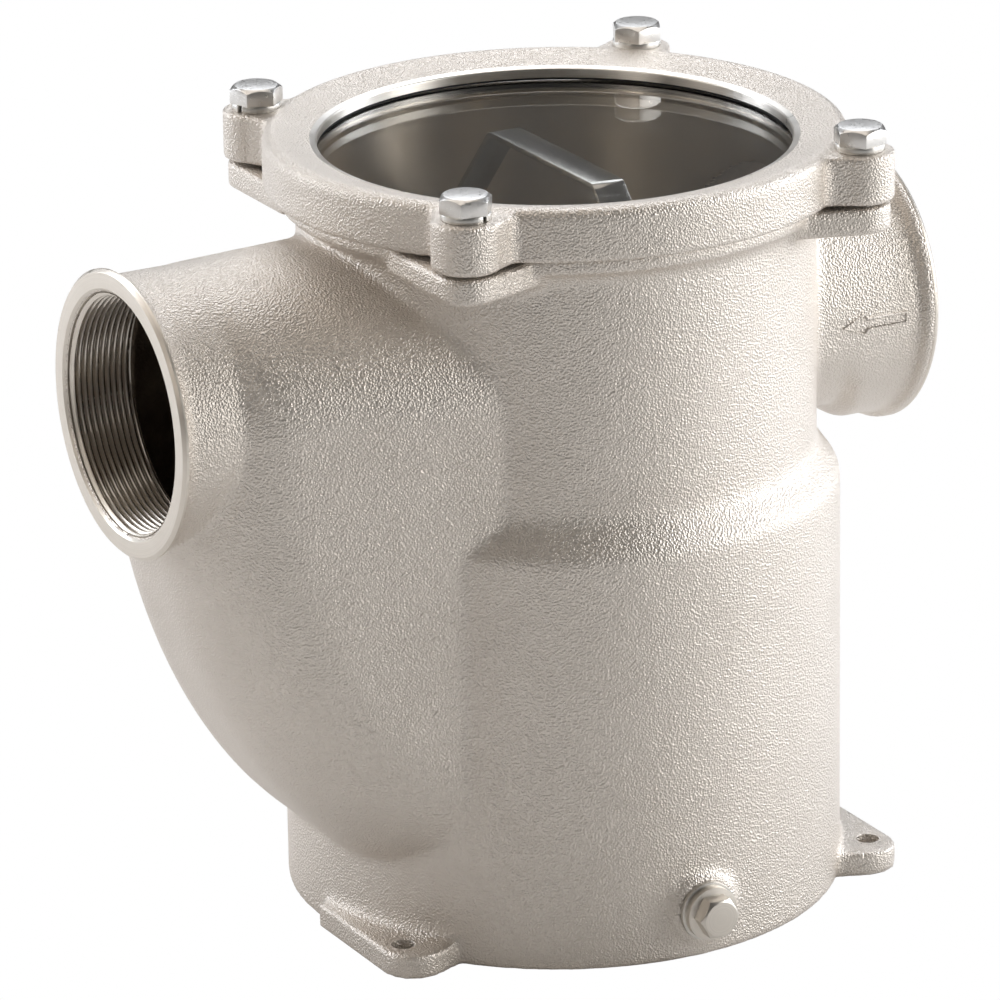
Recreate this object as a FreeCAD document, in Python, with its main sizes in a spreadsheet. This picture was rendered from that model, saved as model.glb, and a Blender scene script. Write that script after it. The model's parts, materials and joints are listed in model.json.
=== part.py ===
import FreeCAD, Part
import math
import os
import re
import Sketcher
from FreeCAD import Placement, Rotation, Vector

# Seawater strainer. Millimetres, +Z up. The origin is on the basket axis at the base plane.
# The inlet port looks along +X, the outlet port along -X, and the drain plug along -Y.

doc = FreeCAD.newDocument("strainer")

# Driving sizes
SIZES = [
    # Barrel of the body casting
    ("lower_outer_radius", 103.1),
    ("upper_outer_radius", 94.5),
    ("shoulder_low_height", 150.5),
    ("shoulder_high_height", 162.5),
    ("shoulder_round", 4.5),
    ("shoulder_hollow", 3.5),
    ("base_edge_round", 1.0),
    ("flange_radius", 100.5),
    ("flange_top_height", 268.0),
    ("flange_thickness", 6.0),
    ("flange_cove", 5.5),
    ("floor_thickness", 8.0),
    ("lower_bore_radius", 97.0),
    ("upper_bore_radius", 88.0),
    ("seat_height", 155.0),
    ("seat_thickness", 8.0),
    ("seat_bore_radius", 80.5),
    # Ports
    ("port_drop", 59.7),
    ("port_thread_radius", 43.94),
    ("port_thread_depth", 27.1),
    ("port_tube_radius", 49.5),
    ("port_root_inset", 22.0),
    ("port_rim_radius", 52.5),
    ("port_mouth_chamfer", 1.6),
    ("port_rim_chamfer", 1.2),
    ("inlet_reach", 131.7),
    ("inlet_way_radius", 42.2),
    ("inlet_rim_land", 4.0),
    ("inlet_rim_slope", 1.0),
    ("inlet_rim_cove", 1.5),
    ("outlet_reach", 178.0),
    ("outlet_rim_land", 0.2),
    ("outlet_rim_slope", 2.5),
    ("outlet_rim_cove", 7.8),
    # Outlet duct: a scoop that falls from the port to the lower chamber and widens on its way
    ("duct_neck_place", 157.0),
    ("duct_neck_half_width", 52.0),
    ("duct_wide_place", 60.0),
    ("duct_wide_half_width", 72.4),
    ("duct_arch_drop", 0.2),
    ("duct_arch_swell", 0.15),
    ("duct_arch_clearance", 2.0),
    ("duct_corner_radius", 48.9),
    ("duct_wall", 6.3),
    ("duct_root_inset", 12.4),
    ("scoop_pivot_place", 35.2),
    ("scoop_reach", 138.3),
    ("scoop_bottom_height", 9.8),
    # Lugs and feet of the casting
    ("bolt_circle_radius", 113.2),
    ("body_lug_radius", 11.0),
    ("body_lug_height", 10.0),
    ("body_lug_drop", 1.0),
    ("lug_flare_angle", 18.0),
    ("lug_end_place", 40.0),
    ("lug_root_place", 47.0),
    ("foot_circle_radius", 113.5),
    ("foot_hole_radius", 4.25),
    ("foot_thickness", 9.0),
    ("foot_side_place", 107.0),
    ("foot_corner_place", 58.5),
    ("foot_corner_radius", 12.0),
    ("foot_flare_angle", 22.0),
    ("foot_end_place", 7.0),
    ("foot_root_place", 70.0),
    ("foot_rear_root_half_width", 24.0),
    ("foot_rear_root_inset", 5.0),
    # Cover ring
    ("cover_outer_radius", 106.0),
    ("cover_gap", 0.3),
    ("cover_top_fall", 5.2),
    ("cover_edge_round", 4.0),
    ("cover_lip_round", 0.8),
    ("cover_window_radius", 86.1),
    ("cover_lip_thickness", 3.4),
    ("cover_lug_radius", 12.5),
    ("cover_lug_rise", 18.5),
    ("cover_lug_root_half_width", 17.0),
    ("cover_lug_root_inset", 1.0),
    ("cover_bolt_clearance", 0.5),
    ("washer_seat_clearance", 0.5),
    # Window and seals
    ("window_radius", 98.0),
    ("window_side_gap", 0.3),
    ("window_stand", 1.0),
    ("window_thickness", 10.5),
    ("gasket_thickness", 1.0),
    ("gasket_inset", 1.0),
    ("oring_radius", 93.0),
    ("oring_relief", 0.2),
    ("oring_groove_depth", 2.6),
    ("oring_groove_half_width", 2.3),
    # Cover bolts and spring washers
    ("bolt_radius", 5.0),
    ("bolt_length", 30.0),
    ("bolt_across_flats", 17.0),
    ("bolt_head_height", 6.4),
    ("bolt_point_chamfer", 1.0),
    ("head_face_share", 0.92),
    ("head_chamfer_angle", 38.0),
    ("thread_clearance", 0.05),
    ("washer_outer_radius", 9.0),
    ("washer_bore_clearance", 0.3),
    ("washer_thickness", 2.5),
    ("washer_split_width", 1.6),
    # Drain plug
    ("drain_height", 19.0),
    ("drain_boss_radius", 13.0),
    ("drain_boss_flare", 3.0),
    ("drain_boss_reach", 105.5),
    ("drain_boss_land", 0.5),
    ("drain_thread_radius", 8.3),
    ("drain_thread_length", 10.0),
    ("drain_washer_radius", 11.0),
    ("drain_washer_thickness", 2.0),
    ("drain_collar_radius", 10.0),
    ("drain_collar_thickness", 3.0),
    ("drain_across_flats", 14.0),
    ("drain_head_height", 6.0),
    # Basket
    ("basket_radius", 79.0),
    ("basket_sheet", 1.0),
    ("basket_rim_gap", 1.5),
    ("basket_rim_thickness", 2.0),
    ("basket_floor_clearance", 6.0),
    ("basket_hole_radius", 5.2),
    ("basket_hole_columns", 20),
    ("basket_hole_rows", 5),
    ("basket_hole_border", 17.0),
    ("basket_band_height", 12.0),
    ("basket_band_thickness", 1.0),
    ("seam_width", 10.0),
    # Basket handle and its rivets
    ("handle_width", 12.5),
    ("handle_thickness", 2.0),
    ("handle_window_gap", 0.5),
    ("handle_side_gap", 0.3),
    ("handle_top_half_length", 39.0),
    ("handle_leg_angle", 48.0),
    ("handle_leg_overlap", 22.0),
    ("handle_bend_radius", 5.0),
    ("rivet_radius", 2.5),
    ("rivet_head_radius", 4.2),
    ("rivet_head_height", 1.0),
    ("rivet_crown_radius", 2.6),
    ("rivet_first_drop", 6.0),
    ("rivet_pitch", 9.0),
]

QUARTER_TURN = 90.0
FULL_TURN = 360.0

# Heights of the clamped stack, and other derived places
PORT_HEIGHT = "(flange_top_height - port_drop)"
PORT_ROOT = "(upper_bore_radius - port_root_inset)"
SCOOP_DEPTH = "(%s - scoop_bottom_height)" % PORT_HEIGHT
WINDOW_BOTTOM = "(flange_top_height + window_stand)"
WINDOW_TOP = "(%s + window_thickness)" % WINDOW_BOTTOM
LIP_UNDERSIDE = "(%s + gasket_thickness)" % WINDOW_TOP
COVER_INNER_TOP = "(%s + cover_lip_thickness)" % LIP_UNDERSIDE
COVER_EDGE_TOP = "(%s + cover_top_fall)" % COVER_INNER_TOP
COVER_BOTTOM = "(flange_top_height + cover_gap)"
COVER_LUG_TOP = "(flange_top_height + cover_lug_rise)"
RECESS_RADIUS = "(window_radius + window_side_gap)"
BODY_LUG_TOP = "(flange_top_height - body_lug_drop)"
LEDGE_BOTTOM = "(seat_height - seat_thickness)"
BASKET_BOTTOM = "(floor_thickness + basket_floor_clearance)"
BASKET_BORE = "(basket_radius - basket_sheet)"
HANDLE_TOP = "(%s - handle_window_gap)" % WINDOW_BOTTOM
HANDLE_SIDE = "(%s - handle_side_gap)" % BASKET_BORE
OVERRUN = "2"
START_OVERRUN = "1"


# Document helpers
def write_sizes():
    sheet = doc.addObject("Spreadsheet::Sheet", "Sizes")
    for row, (alias, value) in enumerate(SIZES, start=1):
        sheet.set("A%d" % row, alias)
        sheet.set("B%d" % row, str(value))
        sheet.setAlias("B%d" % row, alias)
    doc.recompute()
    return sheet


SHEET = write_sizes()


def size(alias):
    return float(SHEET.get(alias))


def linked(text):
    """Turn bare size names in an expression into references to the sheet."""
    return re.sub(r"\b([a-z]+(?:_[a-z]+)+)\b", r"Sizes.\1", text)


def bind(thing, **expressions):
    for name, text in expressions.items():
        thing.setExpression(name, linked(text))


def place(thing, x="0", y="0", z="0", turn=None):
    if turn is not None:
        thing.Placement = Placement(Vector(), turn)
    for axis, text in (("x", x), ("y", y), ("z", z)):
        thing.setExpression("Placement.Base." + axis, linked(text))


def towards_x(side):
    """Rotation that lays +Z along +X for side 1, or along -X for side -1."""
    return Rotation(Vector(0, 1, 0), side * QUARTER_TURN)


TOWARDS_FRONT = Rotation(Vector(1, 0, 0), QUARTER_TURN)


def about_z(angle):
    return Rotation(Vector(0, 0, 1), angle)


def cylinder(name, radius, height, x="0", y="0", z="0", turn=None):
    solid = doc.addObject("Part::Cylinder", name)
    bind(solid, Radius=radius, Height=height)
    place(solid, x, y, z, turn)
    return solid


def cone(name, radius_start, radius_end, height, x="0", y="0", z="0", turn=None):
    solid = doc.addObject("Part::Cone", name)
    bind(solid, Radius1=radius_start, Radius2=radius_end, Height=height)
    place(solid, x, y, z, turn)
    return solid


def hexagon_head(name, across_flats, height, x="0", y="0", z="0", turn=None):
    """Hexagon with its outer face chamfered to a circle. The turn lays +Z along its axis."""
    hexagon = doc.addObject("Part::Prism", name + "_hexagon")
    hexagon.Polygon = 6
    bind(hexagon, Circumradius="%s / sqrt(3)" % across_flats, Height=height)
    place(hexagon, x, y, z, turn)
    face = "(%s * head_face_share / 2)" % across_flats
    crown = cone(name + "_crown", "%s + %s / tan(head_chamfer_angle * 1 deg)" % (face, height),
                 face, height, x, y, z, turn)
    return common(name, hexagon, crown)


def fuse(name, solids):
    joined = doc.addObject("Part::MultiFuse", name)
    joined.Shapes = solids
    joined.Refine = True
    return joined


def cut(name, base, tool):
    result = doc.addObject("Part::Cut", name)
    result.Base = base
    result.Tool = tool
    result.Refine = True
    return result


def common(name, base, tool):
    result = doc.addObject("Part::Common", name)
    result.Base = base
    result.Tool = tool
    return result


def value_of(text):
    """Present value of an expression."""
    return float(SHEET.evalExpression(linked(text)))


def spot_of(across, up):
    """Present place of a corner that two expressions give."""
    return Vector(value_of(across), value_of(up), 0)


def hold_at(sketch, index, point, across, up, place_now):
    """Tie one point of the sketch to two expressions."""
    for kind, text, value in (("DistanceX", across, place_now.x), ("DistanceY", up, place_now.y)):
        number = sketch.addConstraint(Sketcher.Constraint(kind, index, point, value))
        sketch.setExpression("Constraints[%d]" % number, linked(text))


def corner_arc(corner, before, after, radius):
    """Arc that rounds a corner, and whether it runs from the line before to the line after."""
    back = (before - corner).normalize()
    ahead = (after - corner).normalize()
    half = back.getAngle(ahead) / 2
    centre = corner + (back + ahead).normalize() * (radius / math.sin(half))
    reach = radius / math.tan(half)
    start, end = corner + back * reach, corner + ahead * reach
    turn_left = back.cross(ahead).z < 0
    first, last = (start, end) if turn_left else (end, start)
    angles = [math.atan2(spot.y - centre.y, spot.x - centre.x) for spot in (first, last)]
    circle = Part.Circle(centre, Vector(0, 0, 1), radius)
    return Part.ArcOfCircle(circle, angles[0], angles[1]), start, end, turn_left


def corner_sketch(sketch, corners):
    """Closed outline with each corner at two expressions, rounded where a third gives a radius."""
    count = len(corners)
    spots = [spot_of(corner[0], corner[1]) for corner in corners]
    arcs = {}
    for i, corner in enumerate(corners):
        if len(corner) > 2:
            after = spots[(i + 1) % count]
            arcs[i] = corner_arc(spots[i], spots[i - 1], after, value_of(corner[2]))
    for i in range(count):
        following = (i + 1) % count
        start = arcs[i][2] if i in arcs else spots[i]
        end = arcs[following][1] if following in arcs else spots[following]
        sketch.addGeometry(Part.LineSegment(start, end), False)
    for i, corner in enumerate(corners):
        line_before = (i - 1) % count
        if i not in arcs:
            sketch.addConstraint(Sketcher.Constraint("Coincident", line_before, 2, i, 1))
            hold_at(sketch, i, 1, corner[0], corner[1], spots[i])
            continue
        arc, start, end, turn_left = arcs[i]
        arc_index = sketch.addGeometry(arc, False)
        first, last = (1, 2) if turn_left else (2, 1)
        sketch.addConstraint(Sketcher.Constraint("Tangent", line_before, 2, arc_index, first))
        sketch.addConstraint(Sketcher.Constraint("Tangent", arc_index, last, i, 1))
        number = sketch.addConstraint(Sketcher.Constraint("Radius", arc_index, arc.Radius))
        sketch.setExpression("Constraints[%d]" % number, linked(corner[2]))
        mark = sketch.addGeometry(Part.Point(spots[i]), True)
        sketch.addConstraint(Sketcher.Constraint("PointOnObject", mark, 1, line_before))
        sketch.addConstraint(Sketcher.Constraint("PointOnObject", mark, 1, i))
        hold_at(sketch, mark, 1, corner[0], corner[1], spots[i])


def extruded(name, corners, height, z="0", turn=None):
    """Prism with an outline in a plane parallel to the base."""
    sketch = doc.addObject("Sketcher::SketchObject", name + "_outline")
    corner_sketch(sketch, corners)
    place(sketch, z=z, turn=turn)
    solid = doc.addObject("Part::Extrusion", name)
    solid.Base = sketch
    solid.DirMode = "Custom"
    solid.Dir = Vector(0, 0, 1)
    solid.Solid = True
    bind(solid, LengthFwd=height)
    return solid


def body_sketch(body, name, role, corners):
    plane = [part for part in body.Origin.OriginFeatures if part.Role == role][0]
    sketch = body.newObject("Sketcher::SketchObject", name)
    sketch.AttachmentSupport = [(plane, "")]
    sketch.MapMode = "FlatFace"
    corner_sketch(sketch, corners)
    return sketch


def turned(name, corners):
    """Body turned about Z from an outline of radius and height."""
    body = doc.addObject("PartDesign::Body", name)
    sketch = body_sketch(body, name + "_outline", "XZ_Plane", corners)
    feature = body.newObject("PartDesign::Revolution", name + "_turned")
    feature.Profile = sketch
    feature.ReferenceAxis = (sketch, ["V_Axis"])
    feature.Angle = FULL_TURN
    doc.recompute()
    return body


def turned_ring(name, inner, outer, bottom, top):
    return turned(name, [(inner, bottom), (outer, bottom), (outer, top), (inner, top)])


# Body casting, outside
def casting_barrel():
    cove_height = "(flange_top_height - flange_thickness)"
    corners = [("0", "0"), ("lower_outer_radius", "0", "base_edge_round"),
               ("lower_outer_radius", "shoulder_low_height", "shoulder_round"),
               ("upper_outer_radius", "shoulder_high_height", "shoulder_hollow"),
               ("upper_outer_radius", cove_height, "flange_cove"),
               ("flange_radius", cove_height),
               ("flange_radius", "flange_top_height"), ("0", "flange_top_height")]
    return turned("barrel", corners)


def port_tube(name, side):
    """Tube of one port with its machined rim. Side is 1 for +X and -1 for -X."""
    rim_back = "(%s_reach - port_rim_chamfer - %s_rim_land)" % (name, name)
    corners = [("0", PORT_ROOT), ("port_tube_radius", PORT_ROOT),
               ("port_tube_radius", "%s - %s_rim_slope" % (rim_back, name), name + "_rim_cove"),
               ("port_rim_radius", rim_back),
               ("port_rim_radius", name + "_reach - port_rim_chamfer"),
               ("port_rim_radius - port_rim_chamfer", name + "_reach"), ("0", name + "_reach")]
    body = turned(name + "_port", corners)
    place(body, z=PORT_HEIGHT, turn=towards_x(side))
    return body


# Outlet duct. The same forms are built twice, once for the outside and once, a wall
# thickness smaller, for the water way.
def duct_slope():
    spread = size("duct_wide_half_width") - size("duct_neck_half_width")
    return spread / (size("duct_neck_place") - size("duct_wide_place"))


def duct_half_width(x, inset):
    """Half width between the flat sides at the place x on the port axis."""
    return size("duct_neck_half_width") + duct_slope() * (x + size("duct_neck_place")) - inset


def scoop_reach(angle, inset):
    """Distance from the pivot to the back of the scoop, which is part of an ellipse."""
    along = math.cos(math.radians(angle)) / (size("scoop_reach") - inset)
    down = math.sin(math.radians(angle)) / (value_of(SCOOP_DEPTH) - inset)
    return 1 / math.hypot(along, down)


def scoop_corner(angle, inset):
    """Corner circle of a radial section: its centre along and across, and the side's lean."""
    lean = duct_slope() * math.cos(math.radians(angle))
    radius = size("duct_corner_radius") - inset
    along = scoop_reach(angle, inset) - radius
    at_pivot = duct_half_width(-size("scoop_pivot_place"), inset)
    across = at_pivot + lean * along - radius * math.hypot(1, lean)
    return along, across, radius, lean


def scoop_section(name, angle, inset):
    """Rounded section of the scoop in the plane that stands at this angle round its pivot."""
    along, across, radius, lean = scoop_corner(angle, inset)
    reach = along + radius
    root = size("duct_root_inset")
    tilt = math.hypot(1, lean)
    side = (along - radius * lean / tilt, across + radius / tilt)
    bulge = math.atan2(1, -lean) / 2
    middle = (along + radius * math.cos(bulge), across + radius * math.sin(bulge))
    direction = Vector(math.cos(math.radians(angle)), 0, math.sin(math.radians(angle)))
    pivot = Vector(-size("scoop_pivot_place"), 0, value_of(PORT_HEIGHT))

    def spot(out, over):
        return pivot + direction * out + Vector(0, over, 0)

    back = duct_half_width(-size("scoop_pivot_place"), inset) + lean * root
    edges = [
        Part.LineSegment(spot(root, back), spot(*side)),
        Part.Arc(spot(*side), spot(*middle), spot(reach, across)),
        Part.LineSegment(spot(reach, across), spot(reach, -across)),
        Part.Arc(spot(reach, -across), spot(middle[0], -middle[1]), spot(side[0], -side[1])),
        Part.LineSegment(spot(side[0], -side[1]), spot(root, -back)),
        Part.LineSegment(spot(root, -back), spot(root, back)),
    ]
    section = doc.addObject("Part::Feature", name)
    section.Shape = Part.Wire([edge.toShape() for edge in edges])
    return section


# Places of the sections, by angle round the scoop and by share of the arch's rounded corner
SCOOP_ANGLES = [180, 200, 220, 240, 262]
CORNER_SHARES = [1.0, 0.5, 0.0]
ARCH_OVERLAP_ANGLE = 15


def arch_section(name, x, half_width, rise):
    """Elliptical arch across the port axis, carried a little below its widest line."""
    below = math.radians(ARCH_OVERLAP_ANGLE)
    bulge = (math.pi / 2 - below) / 2
    top = Vector(0, 0, 1)
    stretch = FreeCAD.Matrix(1, 0, 0, x, 0, half_width, 0, 0, 0, 0, rise, value_of(PORT_HEIGHT))
    halves = []
    for side in (1, -1):
        foot = Vector(0, side * math.cos(below), -math.sin(below))
        middle = Vector(0, side * math.cos(bulge), math.sin(bulge))
        ends = (foot, top) if side > 0 else (top, foot)
        halves.append(Part.Arc(ends[0], middle, ends[1]).toShape().transformGeometry(stretch))
    base = Part.makeLine(halves[1].Vertexes[-1].Point, halves[0].Vertexes[0].Point)
    section = doc.addObject("Part::Feature", name)
    section.Shape = Part.Wire(halves + [base])
    return section


def loft(name, sections):
    solid = doc.addObject("Part::Loft", name)
    solid.Sections = sections
    solid.Solid = True
    solid.Ruled = False
    return solid


def arch_stations(inset, tube_radius):
    """Places along the port axis of the corner's sections, each with its half width."""
    along, across, radius, lean = scoop_corner(SCOOP_ANGLES[0], inset)
    centre = -size("scoop_pivot_place") - along
    deepest = math.asin((tube_radius - size("duct_arch_clearance") - across) / radius)
    widest = math.atan2(1, -lean)
    stations = []
    for share in CORNER_SHARES:
        angle = widest + (deepest - widest) * share
        stations.append((centre - radius * math.cos(angle), across + radius * math.sin(angle)))
    return stations


def duct(name, inset, tube_radius):
    """Rounded corner, straight arch and scoop of the duct, smaller by the inset."""
    rise = size("port_tube_radius") - size("duct_arch_drop") - inset
    swell = size("duct_arch_swell")
    root = -size("scoop_pivot_place") - size("duct_root_inset")
    stations = arch_stations(inset, tube_radius) + [(root, duct_half_width(root, inset))]
    arches = [arch_section("%s_arch_%d" % (name, i), x, half_width + swell, rise)
              for i, (x, half_width) in enumerate(stations, start=1)]
    sections = [scoop_section("%s_section_%d" % (name, angle), angle, inset)
                for angle in SCOOP_ANGLES]
    return [loft(name + "_corner", arches[:-1]), loft(name + "_arch", arches[-2:]),
            loft(name + "_scoop", sections)]


# Lugs and feet
def corner_tab(name, side, front, outer, corner, radius, flare, end, inner, height, z):
    """Tab with one round corner, a side along Y and a front flared towards the barrel.

    Side and front are the signs of its X and Y. The round corner's centre lies at this
    corner place along Y, a radius inside the outer side.
    """
    flare = "(%s * 1 deg)" % flare
    point = "(%s + %s * (1 + sin(%s)) / cos(%s))" % (corner, radius, flare, flare)
    inner_front = "%s - (%s - %s) * tan(%s)" % (point, outer, inner, flare)
    corners = [(outer, end), (outer, point, radius), (inner, inner_front), (inner, end)]
    signed = [("%d * (%s)" % (side, c[0]), "%d * (%s)" % (front, c[1]), *c[2:]) for c in corners]
    return extruded(name, signed, height, z)


def radial_tab(name, centre, radius, root_half_width, root, height, z, angle):
    """Tab that narrows from the ring to a round end, standing at this angle from +X."""
    corners = [(root, "-1 * (%s)" % root_half_width), (centre, "-1 * (%s)" % radius),
               (centre, radius), (root, root_half_width)]
    plate = extruded(name + "_plate", corners, height, z, about_z(angle))
    boss = cylinder(name + "_boss", radius, height, "%s * cos(%g deg)" % (centre, angle),
                    "%s * sin(%g deg)" % (centre, angle), z)
    return [plate, boss]


QUARTERS = [(1, 1), (-1, 1), (-1, -1), (1, -1)]
FIRST_BOLT_ANGLE = 45
BOLT_ACROSS = "(bolt_circle_radius * cos(%d deg))" % FIRST_BOLT_ANGLE
FRONT_FOOT_ANGLE = 30
REAR_FOOT_ANGLE = 90


def casting_lugs():
    outer = "(%s + body_lug_radius)" % BOLT_ACROSS
    bottom = "%s - body_lug_height" % BODY_LUG_TOP
    return [corner_tab("body_lug_%d" % number, side, front, outer, BOLT_ACROSS, "body_lug_radius",
                       "lug_flare_angle", "lug_end_place", "lug_root_place",
                       "body_lug_height", bottom)
            for number, (side, front) in enumerate(QUARTERS, start=1)]


def casting_feet():
    feet = [corner_tab(name, side, -1, "foot_side_place", "foot_corner_place", "foot_corner_radius",
                       "foot_flare_angle", "foot_end_place", "foot_root_place", "foot_thickness", "0")
            for name, side in (("foot_left", -1), ("foot_right", 1))]
    return feet + radial_tab("foot_rear", "foot_circle_radius", "foot_corner_radius",
                             "foot_rear_root_half_width",
                             "(lower_bore_radius - foot_rear_root_inset)", "foot_thickness", "0",
                             REAR_FOOT_ANGLE)


def foot_places():
    places = []
    for angle in (180 + FRONT_FOOT_ANGLE, 360 - FRONT_FOOT_ANGLE, REAR_FOOT_ANGLE):
        places.append(("foot_circle_radius * cos(%d deg)" % angle,
                       "foot_circle_radius * sin(%d deg)" % angle))
    return places


def drain_boss():
    """Round boss of the drain, with a flare at its foot."""
    turn = TOWARDS_FRONT
    length = "(drain_boss_reach - lower_bore_radius)"
    straight = cylinder("drain_boss_face", "drain_boss_radius", length,
                        y="-1 * lower_bore_radius", z="drain_height", turn=turn)
    flare = cone("drain_boss_flare_cone", "drain_boss_radius + drain_boss_flare",
                 "drain_boss_radius", length + " - drain_boss_land",
                 y="-1 * lower_bore_radius", z="drain_height", turn=turn)
    return [straight, flare]


# Body casting, water ways and machined holes
def barrel_bores():
    lower = cylinder("lower_bore", "lower_bore_radius", "%s - floor_thickness" % LEDGE_BOTTOM,
                     z="floor_thickness")
    seat = cylinder("seat_bore", "seat_bore_radius", "seat_thickness + %s" % OVERRUN,
                    z="%s - %s" % (LEDGE_BOTTOM, START_OVERRUN))
    upper = cylinder("upper_bore", "upper_bore_radius",
                     "flange_top_height - seat_height + %s" % OVERRUN, z="seat_height")
    return [lower, seat, upper]


def port_bore(name, side):
    """Thread bore of one port, with the chamfer at its mouth."""
    turn = towards_x(side)
    start = "%d * (%s_reach - port_thread_depth)" % (side, name)
    mouth_start = "%d * (%s_reach - port_mouth_chamfer)" % (side, name)
    bore = cylinder(name + "_thread", "port_thread_radius", "port_thread_depth", x=start,
                    z=PORT_HEIGHT, turn=turn)
    mouth = cone(name + "_mouth", "port_thread_radius", "port_thread_radius + port_mouth_chamfer",
                 "port_mouth_chamfer", x=mouth_start, z=PORT_HEIGHT, turn=turn)
    return [bore, mouth]


def inlet_way():
    """Cast water way from the inlet's thread to the upper chamber."""
    return cylinder("inlet_way", "inlet_way_radius", "inlet_reach - port_thread_depth - %s + %s"
                    % (PORT_ROOT, OVERRUN), x=PORT_ROOT, z=PORT_HEIGHT, turn=towards_x(1))


def outlet_way():
    """Water way of the duct, clear of the partition and of the ring that holds the thread."""
    partition = cylinder("partition", "upper_outer_radius", "flange_top_height - %s" % LEDGE_BOTTOM,
                         z=LEDGE_BOTTOM)
    thread_ring = cylinder("thread_ring", "port_tube_radius", "port_thread_depth",
                           x="-1 * (outlet_reach - port_thread_depth)", z=PORT_HEIGHT,
                           turn=towards_x(-1))
    way = fuse("duct_water_way", duct("water_way", size("duct_wall"), size("port_thread_radius")))
    return cut("outlet_way", way, fuse("kept_metal", [partition, thread_ring]))


def casting_holes():
    holes = []
    for number, (side, front) in enumerate(QUARTERS, start=1):
        holes.append(cylinder("lug_thread_%d" % number, "bolt_radius + thread_clearance",
                              "body_lug_height + %s" % OVERRUN, "%d * %s" % (side, BOLT_ACROSS),
                              "%d * %s" % (front, BOLT_ACROSS),
                              "%s - body_lug_height - %s" % (BODY_LUG_TOP, START_OVERRUN)))
    for number, (x, y) in enumerate(foot_places(), start=1):
        holes.append(cylinder("foot_hole_%d" % number, "foot_hole_radius",
                              "foot_thickness + %s" % OVERRUN, x, y, "-%s" % START_OVERRUN))
    holes.append(cylinder("drain_hole", "drain_thread_radius + thread_clearance",
                          "drain_boss_reach - lower_bore_radius + 2 * %s" % OVERRUN,
                          y="-1 * (lower_bore_radius - %s)" % OVERRUN, z="drain_height",
                          turn=TOWARDS_FRONT))
    return holes


def oring_groove():
    return turned_ring("oring_groove", "oring_radius - oring_groove_half_width",
                       "oring_radius + oring_groove_half_width",
                       "flange_top_height - oring_groove_depth", "flange_top_height + %s" % OVERRUN)


def casting():
    """Body casting with ports, duct, lugs, feet and drain boss."""
    outside = [casting_barrel(), port_tube("inlet", 1), port_tube("outlet", -1)]
    outside += duct("duct", 0, size("port_tube_radius"))
    outside += casting_lugs() + casting_feet() + drain_boss()
    hollow = cut("casting_with_duct", fuse("casting_outside", outside), outlet_way())
    tools = barrel_bores() + casting_holes() + [oring_groove(), inlet_way()]
    tools += port_bore("inlet", 1) + port_bore("outlet", -1)
    return cut("body_casting", hollow, fuse("casting_tools", tools))


# Cover ring, window and seals
def cover_ring():
    outline = [(RECESS_RADIUS, COVER_BOTTOM), ("cover_outer_radius", COVER_BOTTOM),
               ("cover_outer_radius", COVER_EDGE_TOP, "cover_edge_round"),
               ("cover_window_radius", COVER_INNER_TOP, "cover_lip_round"),
               ("cover_window_radius", LIP_UNDERSIDE), (RECESS_RADIUS, LIP_UNDERSIDE)]
    ring = turned("cover_turned_ring", outline)
    pieces = [ring]
    holes = []
    for number in range(1, 5):
        angle = FIRST_BOLT_ANGLE + (number - 1) * QUARTER_TURN
        pieces += radial_tab("cover_lug_%d" % number, "bolt_circle_radius", "cover_lug_radius",
                             "cover_lug_root_half_width",
                             "(%s + cover_lug_root_inset)" % RECESS_RADIUS,
                             "cover_lug_rise - cover_gap", COVER_BOTTOM, angle)
        x = "bolt_circle_radius * cos(%g deg)" % angle
        y = "bolt_circle_radius * sin(%g deg)" % angle
        holes.append(cylinder("cover_hole_%d" % number, "bolt_radius + cover_bolt_clearance",
                              "cover_lug_rise + %s" % OVERRUN, x, y,
                              "flange_top_height - %s" % START_OVERRUN))
        holes.append(cylinder("washer_seat_%d" % number,
                              "washer_outer_radius + washer_seat_clearance",
                              "%s - %s + %s" % (COVER_EDGE_TOP, COVER_LUG_TOP, OVERRUN), x, y,
                              COVER_LUG_TOP))
    return cut("cover_ring", fuse("cover_blank", pieces), fuse("cover_holes", holes))


def sight_window():
    return turned("sight_window", [("0", WINDOW_BOTTOM), ("window_radius", WINDOW_BOTTOM),
                                   ("window_radius", WINDOW_TOP), ("0", WINDOW_TOP)])


def window_gasket():
    return turned_ring("window_gasket", "cover_window_radius + gasket_inset",
                       "window_radius", WINDOW_TOP, LIP_UNDERSIDE)


def cover_oring():
    ring = doc.addObject("Part::Torus", "cover_oring")
    section = "(oring_groove_depth + window_stand - oring_relief) / 2"
    bind(ring, Radius1="oring_radius", Radius2=section)
    place(ring, z="flange_top_height - oring_groove_depth + %s" % section)
    return ring


# Fasteners
BOLT_TURNS = [5, -17, -8, 12]
WASHER_SPLIT_TURN = 60


def cover_bolt(number, angle):
    """Hexagon bolt with a chamfered head and point, standing in one cover lug."""
    x = "bolt_circle_radius * cos(%g deg)" % angle
    y = "bolt_circle_radius * sin(%g deg)" % angle
    seat = "%s + washer_thickness" % COVER_LUG_TOP
    name = "cover_bolt_%d" % number
    head = hexagon_head(name + "_head", "bolt_across_flats", "bolt_head_height", x, y, seat,
                        about_z(BOLT_TURNS[number - 1]))
    shank = cylinder(name + "_shank", "bolt_radius", "bolt_length - bolt_point_chamfer", x, y,
                     "%s - bolt_length + bolt_point_chamfer" % seat)
    point = cone(name + "_point", "bolt_radius - bolt_point_chamfer", "bolt_radius",
                 "bolt_point_chamfer", x, y, "%s - bolt_length" % seat)
    return fuse(name, [head, shank, point])


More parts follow.
